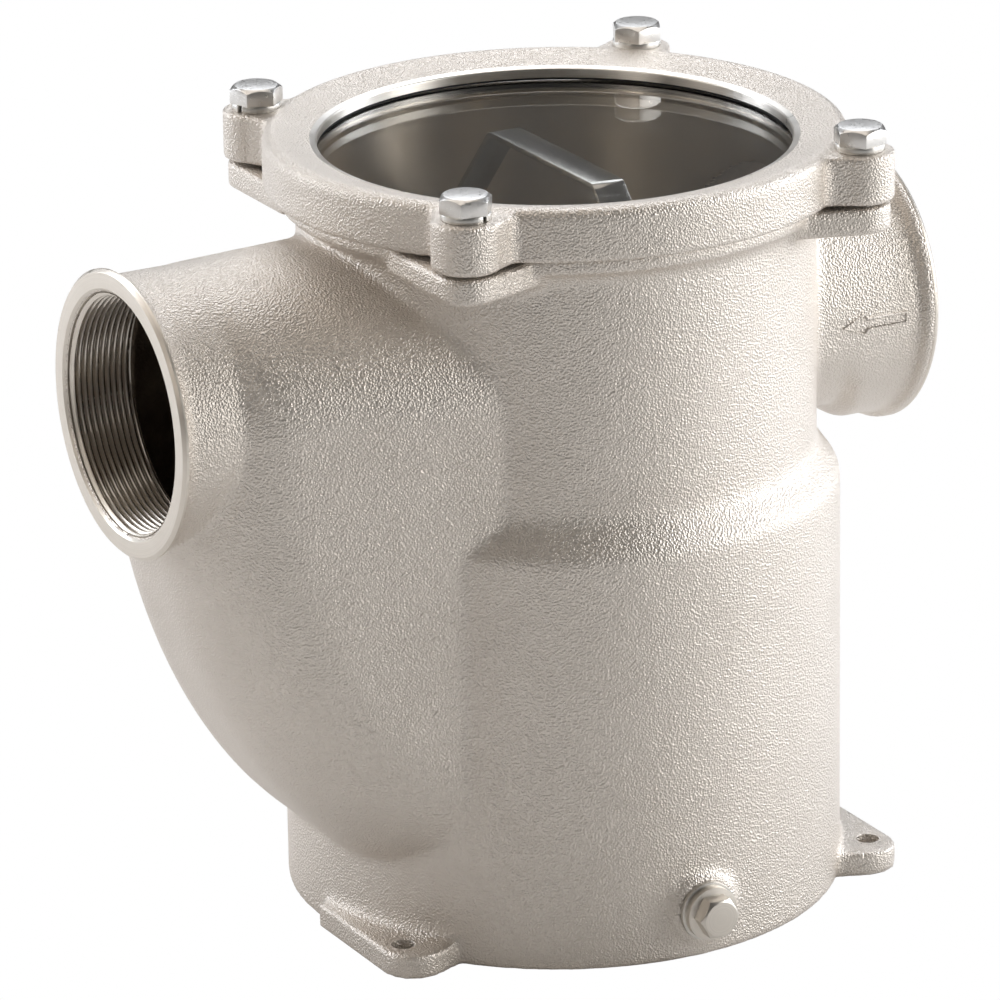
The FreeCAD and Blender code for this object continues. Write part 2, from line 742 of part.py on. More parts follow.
def spring_washer(number, angle):
    """Split ring under one bolt head."""
    x = "bolt_circle_radius * cos(%g deg)" % angle
    y = "bolt_circle_radius * sin(%g deg)" % angle
    name = "spring_washer_%d" % number
    ring = cylinder(name + "_ring", "washer_outer_radius", "washer_thickness", x, y, COVER_LUG_TOP)
    bore = cylinder(name + "_bore", "bolt_radius + washer_bore_clearance",
                    "washer_thickness + %s" % OVERRUN, x, y,
                    "%s - %s" % (COVER_LUG_TOP, START_OVERRUN))
    split = doc.addObject("Part::Box", name + "_split")
    bind(split, Length="washer_outer_radius * 2", Width="washer_split_width",
         Height="washer_thickness + %s" % OVERRUN)
    place(split, x, y, "%s - %s" % (COVER_LUG_TOP, START_OVERRUN),
          about_z(angle + WASHER_SPLIT_TURN))
    return cut(name, ring, fuse(name + "_cutter", [bore, split]))


def drain_plug():
    """Collared hexagon plug that screws into the drain boss."""
    turn = TOWARDS_FRONT
    collar_seat = "(drain_boss_reach + drain_washer_thickness)"
    head_seat = "(%s + drain_collar_thickness)" % collar_seat
    shank = cylinder("drain_plug_shank", "drain_thread_radius",
                     "drain_thread_length + drain_collar_thickness",
                     y="-1 * (%s - drain_thread_length)" % collar_seat, z="drain_height", turn=turn)
    collar = cylinder("drain_plug_collar", "drain_collar_radius", "drain_collar_thickness",
                      y="-1 * %s" % collar_seat, z="drain_height", turn=turn)
    head = hexagon_head("drain_plug_head", "drain_across_flats", "drain_head_height",
                        y="-1 * %s" % head_seat, z="drain_height", turn=turn)
    return fuse("drain_plug", [shank, collar, head])


def drain_washer():
    turn = TOWARDS_FRONT
    ring = cylinder("drain_washer_ring", "drain_washer_radius", "drain_washer_thickness",
                    y="-1 * drain_boss_reach", z="drain_height", turn=turn)
    bore = cylinder("drain_washer_bore", "drain_thread_radius + washer_bore_clearance",
                    "drain_washer_thickness + %s" % OVERRUN,
                    y="-1 * (drain_boss_reach - %s)" % START_OVERRUN,
                    z="drain_height", turn=turn)
    return cut("drain_washer", ring, bore)


# Basket
def rivet_places():
    """Side and height of each handle rivet."""
    places = []
    for side in (1, -1):
        for row in range(2):
            places.append((side, "(seat_height - rivet_first_drop - %d * rivet_pitch)" % row))
    return places


def rivet_holes(name):
    """Drilled holes for the handle rivets, through both sides of the basket."""
    holes = []
    for side, height in rivet_places():
        holes.append(cylinder("%s_%d" % (name, len(holes) + 1), "rivet_radius + thread_clearance",
                              "basket_radius / 2 + %s" % OVERRUN,
                              y="%d * basket_radius / 2" % side, z=height,
                              turn=Rotation(Vector(1, 0, 0), -side * QUARTER_TURN)))
    return holes


def basket_perforation():
    """Six-sided piercings in rows and columns, clear of the seam and the handle rivets."""
    columns = int(size("basket_hole_columns"))
    rows = int(size("basket_hole_rows"))
    first = "(%s + basket_hole_border)" % BASKET_BOTTOM
    span = "(seat_height - basket_hole_border * 2 - %s)" % BASKET_BOTTOM
    piercings = []
    for column in range(columns):
        angle = FULL_TURN * (column + 0.5) / columns
        outward = Rotation(Vector(0, 0, 1), Vector(math.cos(math.radians(angle)),
                                                   math.sin(math.radians(angle)), 0))
        for row in range(rows):
            hole = doc.addObject("Part::Prism", "piercing_%d_%d" % (column, row))
            hole.Polygon = 6
            bind(hole, Circumradius="basket_hole_radius", Height="basket_sheet + 2 * %s" % OVERRUN)
            inner = "(%s - %s)" % (BASKET_BORE, OVERRUN)
            place(hole, "%s * cos(%g deg)" % (inner, angle), "%s * sin(%g deg)" % (inner, angle),
                  "%s + %s * %d / (%d - 1)" % (first, span, row, rows), outward)
            piercings.append(hole)
    return piercings


def compound(name, solids):
    group = doc.addObject("Part::Compound", name)
    group.Links = solids
    return group


def basket_wall():
    tube = turned_ring("basket_tube", BASKET_BORE, "basket_radius", BASKET_BOTTOM, "seat_height")
    tools = compound("basket_piercings", basket_perforation() + rivet_holes("wall_rivet_hole"))
    return cut("basket_wall", tube, tools)


def basket_floor():
    """Disc inside the foot of the wall, with its rim turned up."""
    top = "(%s + basket_sheet)" % BASKET_BOTTOM
    upturn = "(%s + basket_band_height)" % BASKET_BOTTOM
    outline = [("0", BASKET_BOTTOM), (BASKET_BORE, BASKET_BOTTOM), (BASKET_BORE, upturn),
               (BASKET_BORE + " - basket_sheet", upturn), (BASKET_BORE + " - basket_sheet", top),
               ("0", top)]
    return turned("basket_floor", outline)


def basket_top_rim():
    """Flat ring that hangs the basket on the seat of the casting."""
    return turned_ring("basket_top_rim", BASKET_BORE, "upper_bore_radius - basket_rim_gap",
                       "seat_height", "seat_height + basket_rim_thickness")


def basket_bottom_band():
    return turned_ring("basket_bottom_band", "basket_radius", "basket_radius + basket_band_thickness",
                       BASKET_BOTTOM, "%s + basket_band_height" % BASKET_BOTTOM)


def basket_seam():
    """Cover strip along the joint of the rolled wall."""
    ring = turned_ring("seam_ring", "basket_radius", "basket_radius + basket_band_thickness",
                       "%s + basket_band_height" % BASKET_BOTTOM, "seat_height")
    strip = doc.addObject("Part::Box", "seam_strip")
    bind(strip, Length="basket_radius * 2", Width="seam_width", Height="flange_top_height")
    place(strip, y="-1 * seam_width / 2")
    return common("basket_seam", ring, strip)


def basket_handle():
    """Bent flat strap over the basket, its top bar just below the window."""
    angle = "(handle_leg_angle * 1 deg)"
    half = "handle_top_half_length"
    knee = "(%s - (%s - %s) * tan(%s))" % (HANDLE_TOP, HANDLE_SIDE, half, angle)
    foot = "(seat_height - handle_leg_overlap)"
    sheet = "handle_thickness"
    inner_top = ("(%s - %s * tan(%s / 2))" % (half, sheet, angle), "(%s - %s)" % (HANDLE_TOP, sheet))
    inner_knee = ("(%s - %s)" % (HANDLE_SIDE, sheet),
                  "(%s - %s * tan(45 deg - %s / 2))" % (knee, sheet, angle))
    right = [(half, HANDLE_TOP), (HANDLE_SIDE, knee), (HANDLE_SIDE, foot), (inner_knee[0], foot),
             inner_knee, inner_top]
    left = [("-1 * " + y, z) for y, z in reversed(right)]
    body = doc.addObject("PartDesign::Body", "basket_handle_strap")
    sketch = body_sketch(body, "handle_outline", "YZ_Plane", right + left)
    strap = body.newObject("PartDesign::Pad", "handle_strap")
    strap.Profile = sketch
    strap.Midplane = True
    bind(strap, Length="handle_width")
    doc.recompute()
    bend = body.newObject("PartDesign::Fillet", "handle_bends")
    bend.Base = (strap, bend_edges(strap.Shape))
    bind(bend, Radius="handle_bend_radius")
    doc.recompute()
    return cut("basket_handle", body, compound("handle_rivet_holes", rivet_holes("handle_hole")))


def bend_edges(shape):
    """Edges across the strap at its four bends, inside and outside."""
    lowest_bend = size("seat_height")
    names = []
    for index, edge in enumerate(shape.Edges, start=1):
        first, last = edge.Vertexes[0].Point, edge.Vertexes[-1].Point
        runs_across = abs(first.x - last.x) > size("handle_width") / 2
        if runs_across and first.z > lowest_bend:
            names.append("Edge%d" % index)
    return names


def handle_rivets():
    """Four rivets that hold the strap to the wall."""
    rivets = []
    for number, (side, height) in enumerate(rivet_places(), start=1):
        turn = Rotation(Vector(1, 0, 0), -side * QUARTER_TURN)
        name = "rivet_%d" % number
        inner_face = "(%s - handle_thickness)" % HANDLE_SIDE
        inner_head = cone(name + "_inner_head", "rivet_crown_radius", "rivet_head_radius",
                          "rivet_head_height", y="%d * (%s - rivet_head_height)" % (side, inner_face),
                          z=height, turn=turn)
        shank = cylinder(name + "_shank", "rivet_radius", "basket_radius - %s" % inner_face,
                         y="%d * %s" % (side, inner_face), z=height, turn=turn)
        outer_head = cylinder(name + "_outer_head", "rivet_head_radius", "rivet_head_height",
                              y="%d * basket_radius" % side, z=height, turn=turn)
        rivets.append(fuse(name, [inner_head, shank, outer_head]))
    return compound("handle_rivets", rivets)


# Assembly
def all_parts():
    parts = {
        "body_casting": casting(),
        "cover_ring": cover_ring(),
        "sight_window": sight_window(),
        "window_gasket": window_gasket(),
        "cover_oring": cover_oring(),
        "drain_plug": drain_plug(),
        "drain_washer": drain_washer(),
        "basket_wall": basket_wall(),
        "basket_floor": basket_floor(),
        "basket_top_rim": basket_top_rim(),
        "basket_bottom_band": basket_bottom_band(),
        "basket_seam": basket_seam(),
        "basket_handle": basket_handle(),
        "handle_rivets": handle_rivets(),
    }
    for number in range(1, 5):
        angle = FIRST_BOLT_ANGLE + (number - 1) * QUARTER_TURN
        parts["cover_bolt_%d" % number] = cover_bolt(number, angle)
        parts["spring_washer_%d" % number] = spring_washer(number, angle)
    return parts


def check_document(parts):
    for thing in doc.Objects:
        for state in ("Invalid", "Error"):
            if state in thing.State:
                raise RuntimeError("%s is in state %s" % (thing.Name, state))
    for label, part in parts.items():
        shape = part.Shape
        if shape.isNull() or not shape.isValid() or not shape.Solids:
            raise RuntimeError("%s has no valid solid" % label)


def write_parts(parts):
    os.makedirs("parts", exist_ok=True)
    for label, part in parts.items():
        part.Label = label
        part.Shape.exportStep(os.path.join("parts", label + ".step"))
        box = part.Shape.BoundBox
        print("%-20s %2d solids %10.1f mm3  x %.1f..%.1f y %.1f..%.1f z %.1f..%.1f" % (
            label, len(part.Shape.Solids), part.Shape.Volume, box.XMin, box.XMax,
            box.YMin, box.YMax, box.ZMin, box.ZMax))


parts = all_parts()
doc.recompute()
check_document(parts)
write_parts(parts)
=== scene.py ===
import json
import math

import bmesh
import bpy
import numpy as np
from mathutils import Matrix, Vector


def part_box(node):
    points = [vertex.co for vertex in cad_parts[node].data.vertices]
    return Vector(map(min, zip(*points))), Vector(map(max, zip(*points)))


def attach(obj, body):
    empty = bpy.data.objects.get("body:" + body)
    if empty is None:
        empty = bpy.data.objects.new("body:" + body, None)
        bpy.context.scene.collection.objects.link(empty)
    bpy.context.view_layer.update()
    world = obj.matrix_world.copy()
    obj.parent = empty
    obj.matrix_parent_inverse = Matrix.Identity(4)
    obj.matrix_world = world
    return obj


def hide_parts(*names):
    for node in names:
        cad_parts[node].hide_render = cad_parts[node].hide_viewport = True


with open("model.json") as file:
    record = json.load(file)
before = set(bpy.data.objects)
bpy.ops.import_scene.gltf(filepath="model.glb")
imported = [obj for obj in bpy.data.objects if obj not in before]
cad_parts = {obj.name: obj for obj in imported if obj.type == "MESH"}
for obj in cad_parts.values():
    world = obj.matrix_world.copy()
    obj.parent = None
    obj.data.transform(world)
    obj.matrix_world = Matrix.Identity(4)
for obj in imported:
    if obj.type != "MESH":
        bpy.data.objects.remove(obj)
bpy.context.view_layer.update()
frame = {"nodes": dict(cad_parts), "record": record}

# Seawater strainer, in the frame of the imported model: +Z up, ports along X, drain towards -Y.
# Shapes are worked out in millimetres and stored in metres.

NODES = frame["nodes"]
RECORD = frame["record"]
BODY_OF = {node: body for body, nodes in RECORD["behaviour"]["bodies"].items() for node in nodes}
SLOT_OF = {part["node"]: part["material_slot"] for part in RECORD["subparts"]}
MM = 0.001
FULL_TURN = 2 * math.pi

# Places of the casting
CASTING_LOW, CASTING_HIGH = [[value / MM for value in corner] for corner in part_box("body_casting")]
INLET_REACH = CASTING_HIGH[0]
OUTLET_REACH = -CASTING_LOW[0]
FLANGE_TOP = CASTING_HIGH[2]
PORT_HEIGHT = FLANGE_TOP - 59.7
PORT_TUBE_RADIUS = 49.5
PORT_RIM_RADIUS = 52.5
BORE_RADIUS = 88.0
LOWER_BORE_RADIUS = 97.0
SEAT_HEIGHT = 155.0
DRAIN_HEIGHT = 19.0
FOOT_CIRCLE_RADIUS = 113.5
FOOT_ANGLES = [210, 330, 90]
BOLT_CIRCLE_RADIUS = 113.2
BOLT_ANGLES = [45, 135, 225, 315]

# Stands that lay +Z of a turned piece along its axis
UPRIGHT = Matrix.Identity(4)
PORT_CENTRE = Matrix.Translation((0, 0, PORT_HEIGHT))
QUARTER_TURN = math.radians(90)
INLET_STAND = PORT_CENTRE @ Matrix.Rotation(QUARTER_TURN, 4, "Y")
OUTLET_STAND = PORT_CENTRE @ Matrix.Rotation(-QUARTER_TURN, 4, "Y")


# Material helpers
NOISE_ROUGHNESS = 0.55
RAMP_PLACES = (0.3, 0.7)
TURNING_MARK_SIZE = 0.45
TURNED_TINT = 0.93
TURNED_SPREAD = (0.85, 1.15)
STEEL_TINT = 0.95
STEEL_SPREAD = (0.8, 1.25)


def new_material(name):
    """Material with a Principled shader. Returns it, its node tree and the shader."""
    made = bpy.data.materials.new(name)
    made.use_nodes = True
    tree = made.node_tree
    tree.nodes.clear()
    output = tree.nodes.new("ShaderNodeOutputMaterial")
    shader = tree.nodes.new("ShaderNodeBsdfPrincipled")
    tree.links.new(shader.outputs["BSDF"], output.inputs["Surface"])
    return made, tree, shader


def add(tree, kind, settings=None, **inputs):
    """Node with some of its settings and input values filled in."""
    node = tree.nodes.new(kind)
    for key, value in (settings or {}).items():
        setattr(node, key, value)
    for key, value in inputs.items():
        fill(tree, node.inputs[key.replace("_", " ")], value)
    return node


def fill(tree, socket, value):
    """Link a socket to another one, or set it to a plain value."""
    if isinstance(value, bpy.types.NodeSocket):
        tree.links.new(value, socket)
    else:
        socket.default_value = value


def calculate(tree, operation, first, second=0.0):
    """Result of a sum, product or other operation on two values or sockets."""
    node = add(tree, "ShaderNodeMath", {"operation": operation})
    for socket, value in zip(node.inputs, (first, second)):
        fill(tree, socket, value)
    return node.outputs[0]


def place_in_object(tree):
    return add(tree, "ShaderNodeTexCoord").outputs["Object"]


def noise(tree, size, detail=3.0):
    """Noise whose blobs are about this size in millimetres. Returns its 0 to 1 value."""
    return add(tree, "ShaderNodeTexNoise", Vector=place_in_object(tree), Scale=1 / (size * MM),
               Detail=detail, Roughness=NOISE_ROUGHNESS).outputs["Fac"]


def grains(tree, size, smoothness):
    """Rounded grains of about this size in millimetres: the distance to the nearest centre."""
    node = add(tree, "ShaderNodeTexVoronoi", {"feature": "SMOOTH_F1"}, Scale=1 / (size * MM),
               Vector=place_in_object(tree), Smoothness=smoothness)
    return node.outputs["Distance"]


def turning_marks(tree, axis, centre):
    """Noise that runs in rings round an axis of the object, as a lathe tool leaves it."""
    away = add(tree, "ShaderNodeVectorMath", {"operation": "SUBTRACT"})
    tree.links.new(place_in_object(tree), away.inputs[0])
    away.inputs[1].default_value = [value * MM for value in centre]
    parts = add(tree, "ShaderNodeSeparateXYZ", Vector=away.outputs[0]).outputs
    across = [parts[name] for name in "XYZ" if name != axis]
    squares = [calculate(tree, "MULTIPLY", part, part) for part in across]
    radius = calculate(tree, "SQRT", calculate(tree, "ADD", *squares))
    run = calculate(tree, "ADD", radius, parts[axis])
    return add(tree, "ShaderNodeTexNoise", {"noise_dimensions": "1D"}, W=run,
               Scale=1 / (TURNING_MARK_SIZE * MM), Detail=3.0).outputs["Fac"]


def ramp(tree, value, low, high):
    """Colour that goes from low to high as the value passes the middle of its range."""
    node = add(tree, "ShaderNodeValToRGB", Fac=value)
    for element, place, colour in zip(node.color_ramp.elements, RAMP_PLACES, (low, high)):
        element.position = place
        element.color = (*colour, 1)
    return node.outputs["Color"]


def grey(value):
    return (value, value, value)


def spread(value, shares):
    """Greys a little under and over a value."""
    return [grey(value * share) for share in shares]


def bump(tree, height, distance, strength=1.0, before=None):
    """Normal that follows a height of this many millimetres."""
    node = add(tree, "ShaderNodeBump", Height=height, Distance=distance * MM, Strength=strength)
    if before is not None:
        tree.links.new(before, node.inputs["Normal"])
    return node.outputs["Normal"]


def link(tree, value, shader, name):
    tree.links.new(value, shader.inputs[name])


# Materials
def cast_material():
    """Nickel-plated sand casting: warm beige with an even pebbled skin."""
    made, tree, shader = new_material("cast_metal")
    shader.inputs["Metallic"].default_value = 1.0
    clouds = noise(tree, 30, 2.0)
    link(tree, ramp(tree, clouds, (0.74, 0.69, 0.635), (0.77, 0.72, 0.665)), shader, "Base Color")
    link(tree, ramp(tree, noise(tree, 1.6), grey(0.44), grey(0.5)), shader, "Roughness")
    rolling = bump(tree, noise(tree, 9, 2.0), 0.12)
    pebbles = bump(tree, grains(tree, 0.8, 0.4), 0.45, 0.9, rolling)
    link(tree, bump(tree, noise(tree, 0.55, 2.0), 0.13, 0.9, pebbles), shader, "Normal")
    return made


def cavity_painted_shade_material():
    """Bare cast skin inside the water ways, painted dark brown as shade; the metal there is the same
    as outside.
    """
    made, tree, shader = new_material("cavity_painted_shade")
    shader.inputs["Metallic"].default_value = 0.6
    link(tree, ramp(tree, noise(tree, 12), (0.13, 0.1, 0.075), (0.2, 0.16, 0.12)), shader,
         "Base Color")
    shader.inputs["Roughness"].default_value = 0.65
    link(tree, bump(tree, grains(tree, 1.4, 0.5), 0.25), shader, "Normal")
    return made


def turned_shader(name, colour, roughness, axis, centre, depth=0.012):
    """Machined metal with fine rings round one axis, with its node tree and shader."""
    made, tree, shader = new_material(name)
    shader.inputs["Metallic"].default_value = 1.0
    rings = turning_marks(tree, axis, centre)
    tint = [value * TURNED_TINT for value in colour]
    link(tree, ramp(tree, rings, tint, colour), shader, "Base Color")
    patches = noise(tree, 7)
    link(tree, ramp(tree, patches, *spread(roughness, TURNED_SPREAD)), shader, "Roughness")
    link(tree, bump(tree, rings, depth), shader, "Normal")
    return made, tree, shader


def turned_material(*choices):
    return turned_shader(*choices)[0]


def bore_material():
    """Bored metal, whose rings draw each highlight out along the bore."""
    made, tree, shader = turned_shader("machined_bore", (0.68, 0.59, 0.47), 0.38, "Z", (0, 0, 0), 0.02)
    shader.inputs["Anisotropic"].default_value = 0.85
    shader.inputs["Anisotropic Rotation"].default_value = 0.25
    round_axis = add(tree, "ShaderNodeTangent", {"direction_type": "RADIAL", "axis": "Z"})
    link(tree, round_axis.outputs["Tangent"], shader, "Tangent")
    return made


def steel_material(name, colour, roughness):
    """Drawn or pressed steel with faint scuffs."""
    made, tree, shader = new_material(name)
    shader.inputs["Metallic"].default_value = 1.0
    tint = [value * STEEL_TINT for value in colour]
    link(tree, ramp(tree, noise(tree, 4), tint, colour), shader, "Base Color")
    scuffs = noise(tree, 1.2, 4.0)
    link(tree, ramp(tree, scuffs, *spread(roughness, STEEL_SPREAD)), shader, "Roughness")
    link(tree, bump(tree, scuffs, 0.012, 0.6), shader, "Normal")
    return made


def window_material():
    """Clear acrylic with a faint haze of marks."""
    made, tree, shader = new_material("clear_window")
    shader.inputs["Transmission Weight"].default_value = 1.0
    shader.inputs["IOR"].default_value = 1.49
    shader.inputs["Specular IOR Level"].default_value = 0.15
    haze = noise(tree, 20, 2.0)
    link(tree, ramp(tree, haze, (0.97, 0.98, 0.975), (0.99, 0.99, 0.99)), shader, "Base Color")
    link(tree, ramp(tree, haze, grey(0.0), grey(0.015)), shader, "Roughness")
    return made


def rubber_material():
    """Matt black rubber with fine specks."""
    made, tree, shader = new_material("seal_rubber")
    fine = noise(tree, 0.8, 4.0)
    link(tree, ramp(tree, fine, grey(0.02), grey(0.05)), shader, "Base Color")
    shader.inputs["Roughness"].default_value = 0.6
    link(tree, bump(tree, fine, 0.03), shader, "Normal")
    return made


CAST = cast_material()
# Dark colour for the water ways: painted shade
CAVITY_PAINTED_SHADE = cavity_painted_shade_material()
BORE = bore_material()
LIP = turned_material("machined_lip", (0.84, 0.81, 0.76), 0.32, "Z", (0, 0, 0))
PORT_FACE = turned_material("machined_port", (0.8, 0.75, 0.68), 0.4, "X", (0, 0, PORT_HEIGHT))
PLUG = turned_material("plug_metal", (0.78, 0.74, 0.68), 0.38, "Y", (0, 0, DRAIN_HEIGHT))
BOLT = steel_material("bolt_steel", (0.82, 0.81, 0.79), 0.32)
WASHER = steel_material("washer_steel", (0.76, 0.75, 0.72), 0.36)
SOFT_WASHER = steel_material("soft_washer", (0.72, 0.7, 0.66), 0.34)
BASKET = steel_material("basket_steel", (0.6, 0.58, 0.54), 0.3)
HANDLE = steel_material("handle_steel", (0.62, 0.6, 0.57), 0.2)
WINDOW = window_material()
RUBBER = rubber_material()

FINISH_OF_SLOT = {
    "cast_metal": CAST, "clear_window": WINDOW, "seal_rubber": RUBBER, "bolt_steel": BOLT,
    "washer_steel": WASHER, "plug_metal": PLUG, "soft_washer": SOFT_WASHER,
    "basket_steel": BASKET, "handle_steel": HANDLE,
}


# Pieces
SHARP_ANGLE = math.radians(32)
FLAT_ANGLE = math.radians(0.3)
WELD_DISTANCE = 0.002 * MM
CORNER_STEPS = 5
THREAD_STEEPNESS = 1.3
THREAD_FLAT = 0.15


def shade(data, finish):
    data.polygons.foreach_set("use_smooth", [True] * len(data.polygons))
    data.set_sharp_from_angle(angle=SHARP_ANGLE)
    data.materials.clear()
    data.materials.append(finish)


def add_piece(name, data, body, nodes=()):
    """Object of the scene that moves with a body and stands for nodes of the frame."""
    piece = bpy.data.objects.new(name, data)
    bpy.context.scene.collection.objects.link(piece)
    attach(piece, body)
    if nodes:
        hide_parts(*nodes)
    return piece


def mesh_from(name, points, faces, finish, closed=True):
    """Shaded mesh from points in millimetres."""
    form = bmesh.new()
    corners = [form.verts.new(Vector(point) * MM) for point in points]
    for face in faces:
        form.faces.new([corners[index] for index in face])
    if closed:
        bmesh.ops.recalc_face_normals(form, faces=form.faces)
    return data_from(form, name, finish)


def data_from(form, name, finish):
    """Shaded mesh data of a form, which is freed."""
    data = bpy.data.meshes.new(name)
    form.to_mesh(data)
    form.free()
    shade(data, finish)
    return data


def rounded_outline(corners):
    """Points of a closed outline of (radius, height) corners. A third value rounds a corner."""
    outline = []
    spots = [Vector(corner[:2]) for corner in corners]
    for index, corner in enumerate(corners):
        here = spots[index]
        if len(corner) == 2:
            outline.append(here)
            continue
        back = (spots[index - 1] - here).normalized()
        ahead = (spots[(index + 1) % len(spots)] - here).normalized()
        half = back.angle(ahead) / 2
        centre = here + (back + ahead).normalized() * (corner[2] / math.sin(half))
        reach = corner[2] / math.tan(half)
        start, end = here + back * reach - centre, here + ahead * reach - centre
        for step in range(CORNER_STEPS + 1):
            way = start.lerp(end, step / CORNER_STEPS).normalized()
            outline.append(centre + way * corner[2])
    return outline


def point_round(stand, radius, angle, height):
    """Point at a radius, angle and height round +Z of a stand."""
    return stand @ Vector((radius * math.cos(angle), radius * math.sin(angle), height))


def turned_mesh(name, corners, finish, segments, stand=UPRIGHT):
    """Mesh turned round +Z of the stand from an outline of radius and height."""
    outline = rounded_outline(corners)
    count = len(outline)
    points, faces = [], []
    for turn in range(segments):
        angle = FULL_TURN * turn / segments
        ahead = (turn + 1) % segments
        for index, (radius, height) in enumerate(outline):
            points.append(point_round(stand, radius, angle, height))
            after = (index + 1) % count
            faces.append((turn * count + index, ahead * count + index,
                          ahead * count + after, turn * count + after))
    return mesh_from(name, points, faces, finish)


def thread_depth_at(phase):
    """Way in from the outer radius, 0 to 1, of a V thread with flattened tops and roots."""
    swing = 0.5 - 0.5 * math.cos(FULL_TURN * phase)
    return min(1.0, max(0.0, THREAD_STEEPNESS * swing - THREAD_FLAT))


def thread_points(outer, inner, pitch, start, end, stand, segments, rows, cap):
    """Points of a helical thread, in rings of segments. Both ends fade out over one turn."""
    points = []
    for row in range(rows + 1):
        height = start + (end - start) * row / rows
        fade = min(1.0, (height - start) / pitch, (end - height) / pitch)
        for turn in range(segments):
            share = turn / segments
            depth = thread_depth_at(height / pitch - share) * fade
            radius = outer + (inner - outer) * depth
            if cap is not None:
                radius = min(radius, cap + (height - start))
            points.append(point_round(stand, radius, FULL_TURN * share, height))
    return points


def thread_mesh(name, outer, inner, pitch, start, end, finish, stand, segments,
                rows_per_turn=10, cap=None):
    """Helical thread between two heights, seen from inside, or with a cap radius from outside.

    The cap closes the start of the thread with a chamfered point.
    """
    rows = max(2, round((end - start) / pitch * rows_per_turn))
    points = thread_points(outer, inner, pitch, start, end, stand, segments, rows, cap)
    faces = []
    for row in range(rows):
        for turn in range(segments):
            ahead = (turn + 1) % segments
            faces.append((row * segments + turn, row * segments + ahead,
                          (row + 1) * segments + ahead, (row + 1) * segments + turn))
    if cap is None:
        faces = [tuple(reversed(face)) for face in faces]
    else:
        faces.append(tuple(reversed(range(segments))))
    return mesh_from(name, points, faces, finish, closed=False)


def welded(node):
    """Closed form of a node of the frame, in metres."""
    form = bmesh.new()
    form.from_mesh(NODES[node].data)
    form.transform(NODES[node].matrix_world)
    bmesh.ops.remove_doubles(form, verts=form.verts, dist=WELD_DISTANCE)
    return form


def crisp_mesh(node, width, keep_above=None):
    """Mesh of a node with its sharp edges rounded by a small width in millimetres."""
    form = welded(node)
    if keep_above is not None:
        bmesh.ops.bisect_plane(form, geom=form.verts[:] + form.edges[:] + form.faces[:],
                               plane_co=(0, 0, keep_above * MM), plane_no=(0, 0, 1),
                               clear_inner=True)
    bmesh.ops.dissolve_limit(form, angle_limit=FLAT_ANGLE, verts=form.verts, edges=form.edges)
    edges = [edge for edge in form.edges
             if edge.is_manifold and edge.calc_face_angle(0) > SHARP_ANGLE]
    bmesh.ops.bevel(form, geom=edges, offset=width * MM, offset_type="OFFSET", segments=2,
                    profile=0.5, affect="EDGES", clamp_overlap=True)
    return data_from(form, node + "_crisp", FINISH_OF_SLOT[SLOT_OF[node]])


# Cast skins
EVEN_SHARES = (0.5, -0.53)
LEAST_FILL = 0.014
FILL_SHARE = 0.8
FILLS_PER_NORMAL = 5
SOFTEN_SHARE = 0.5


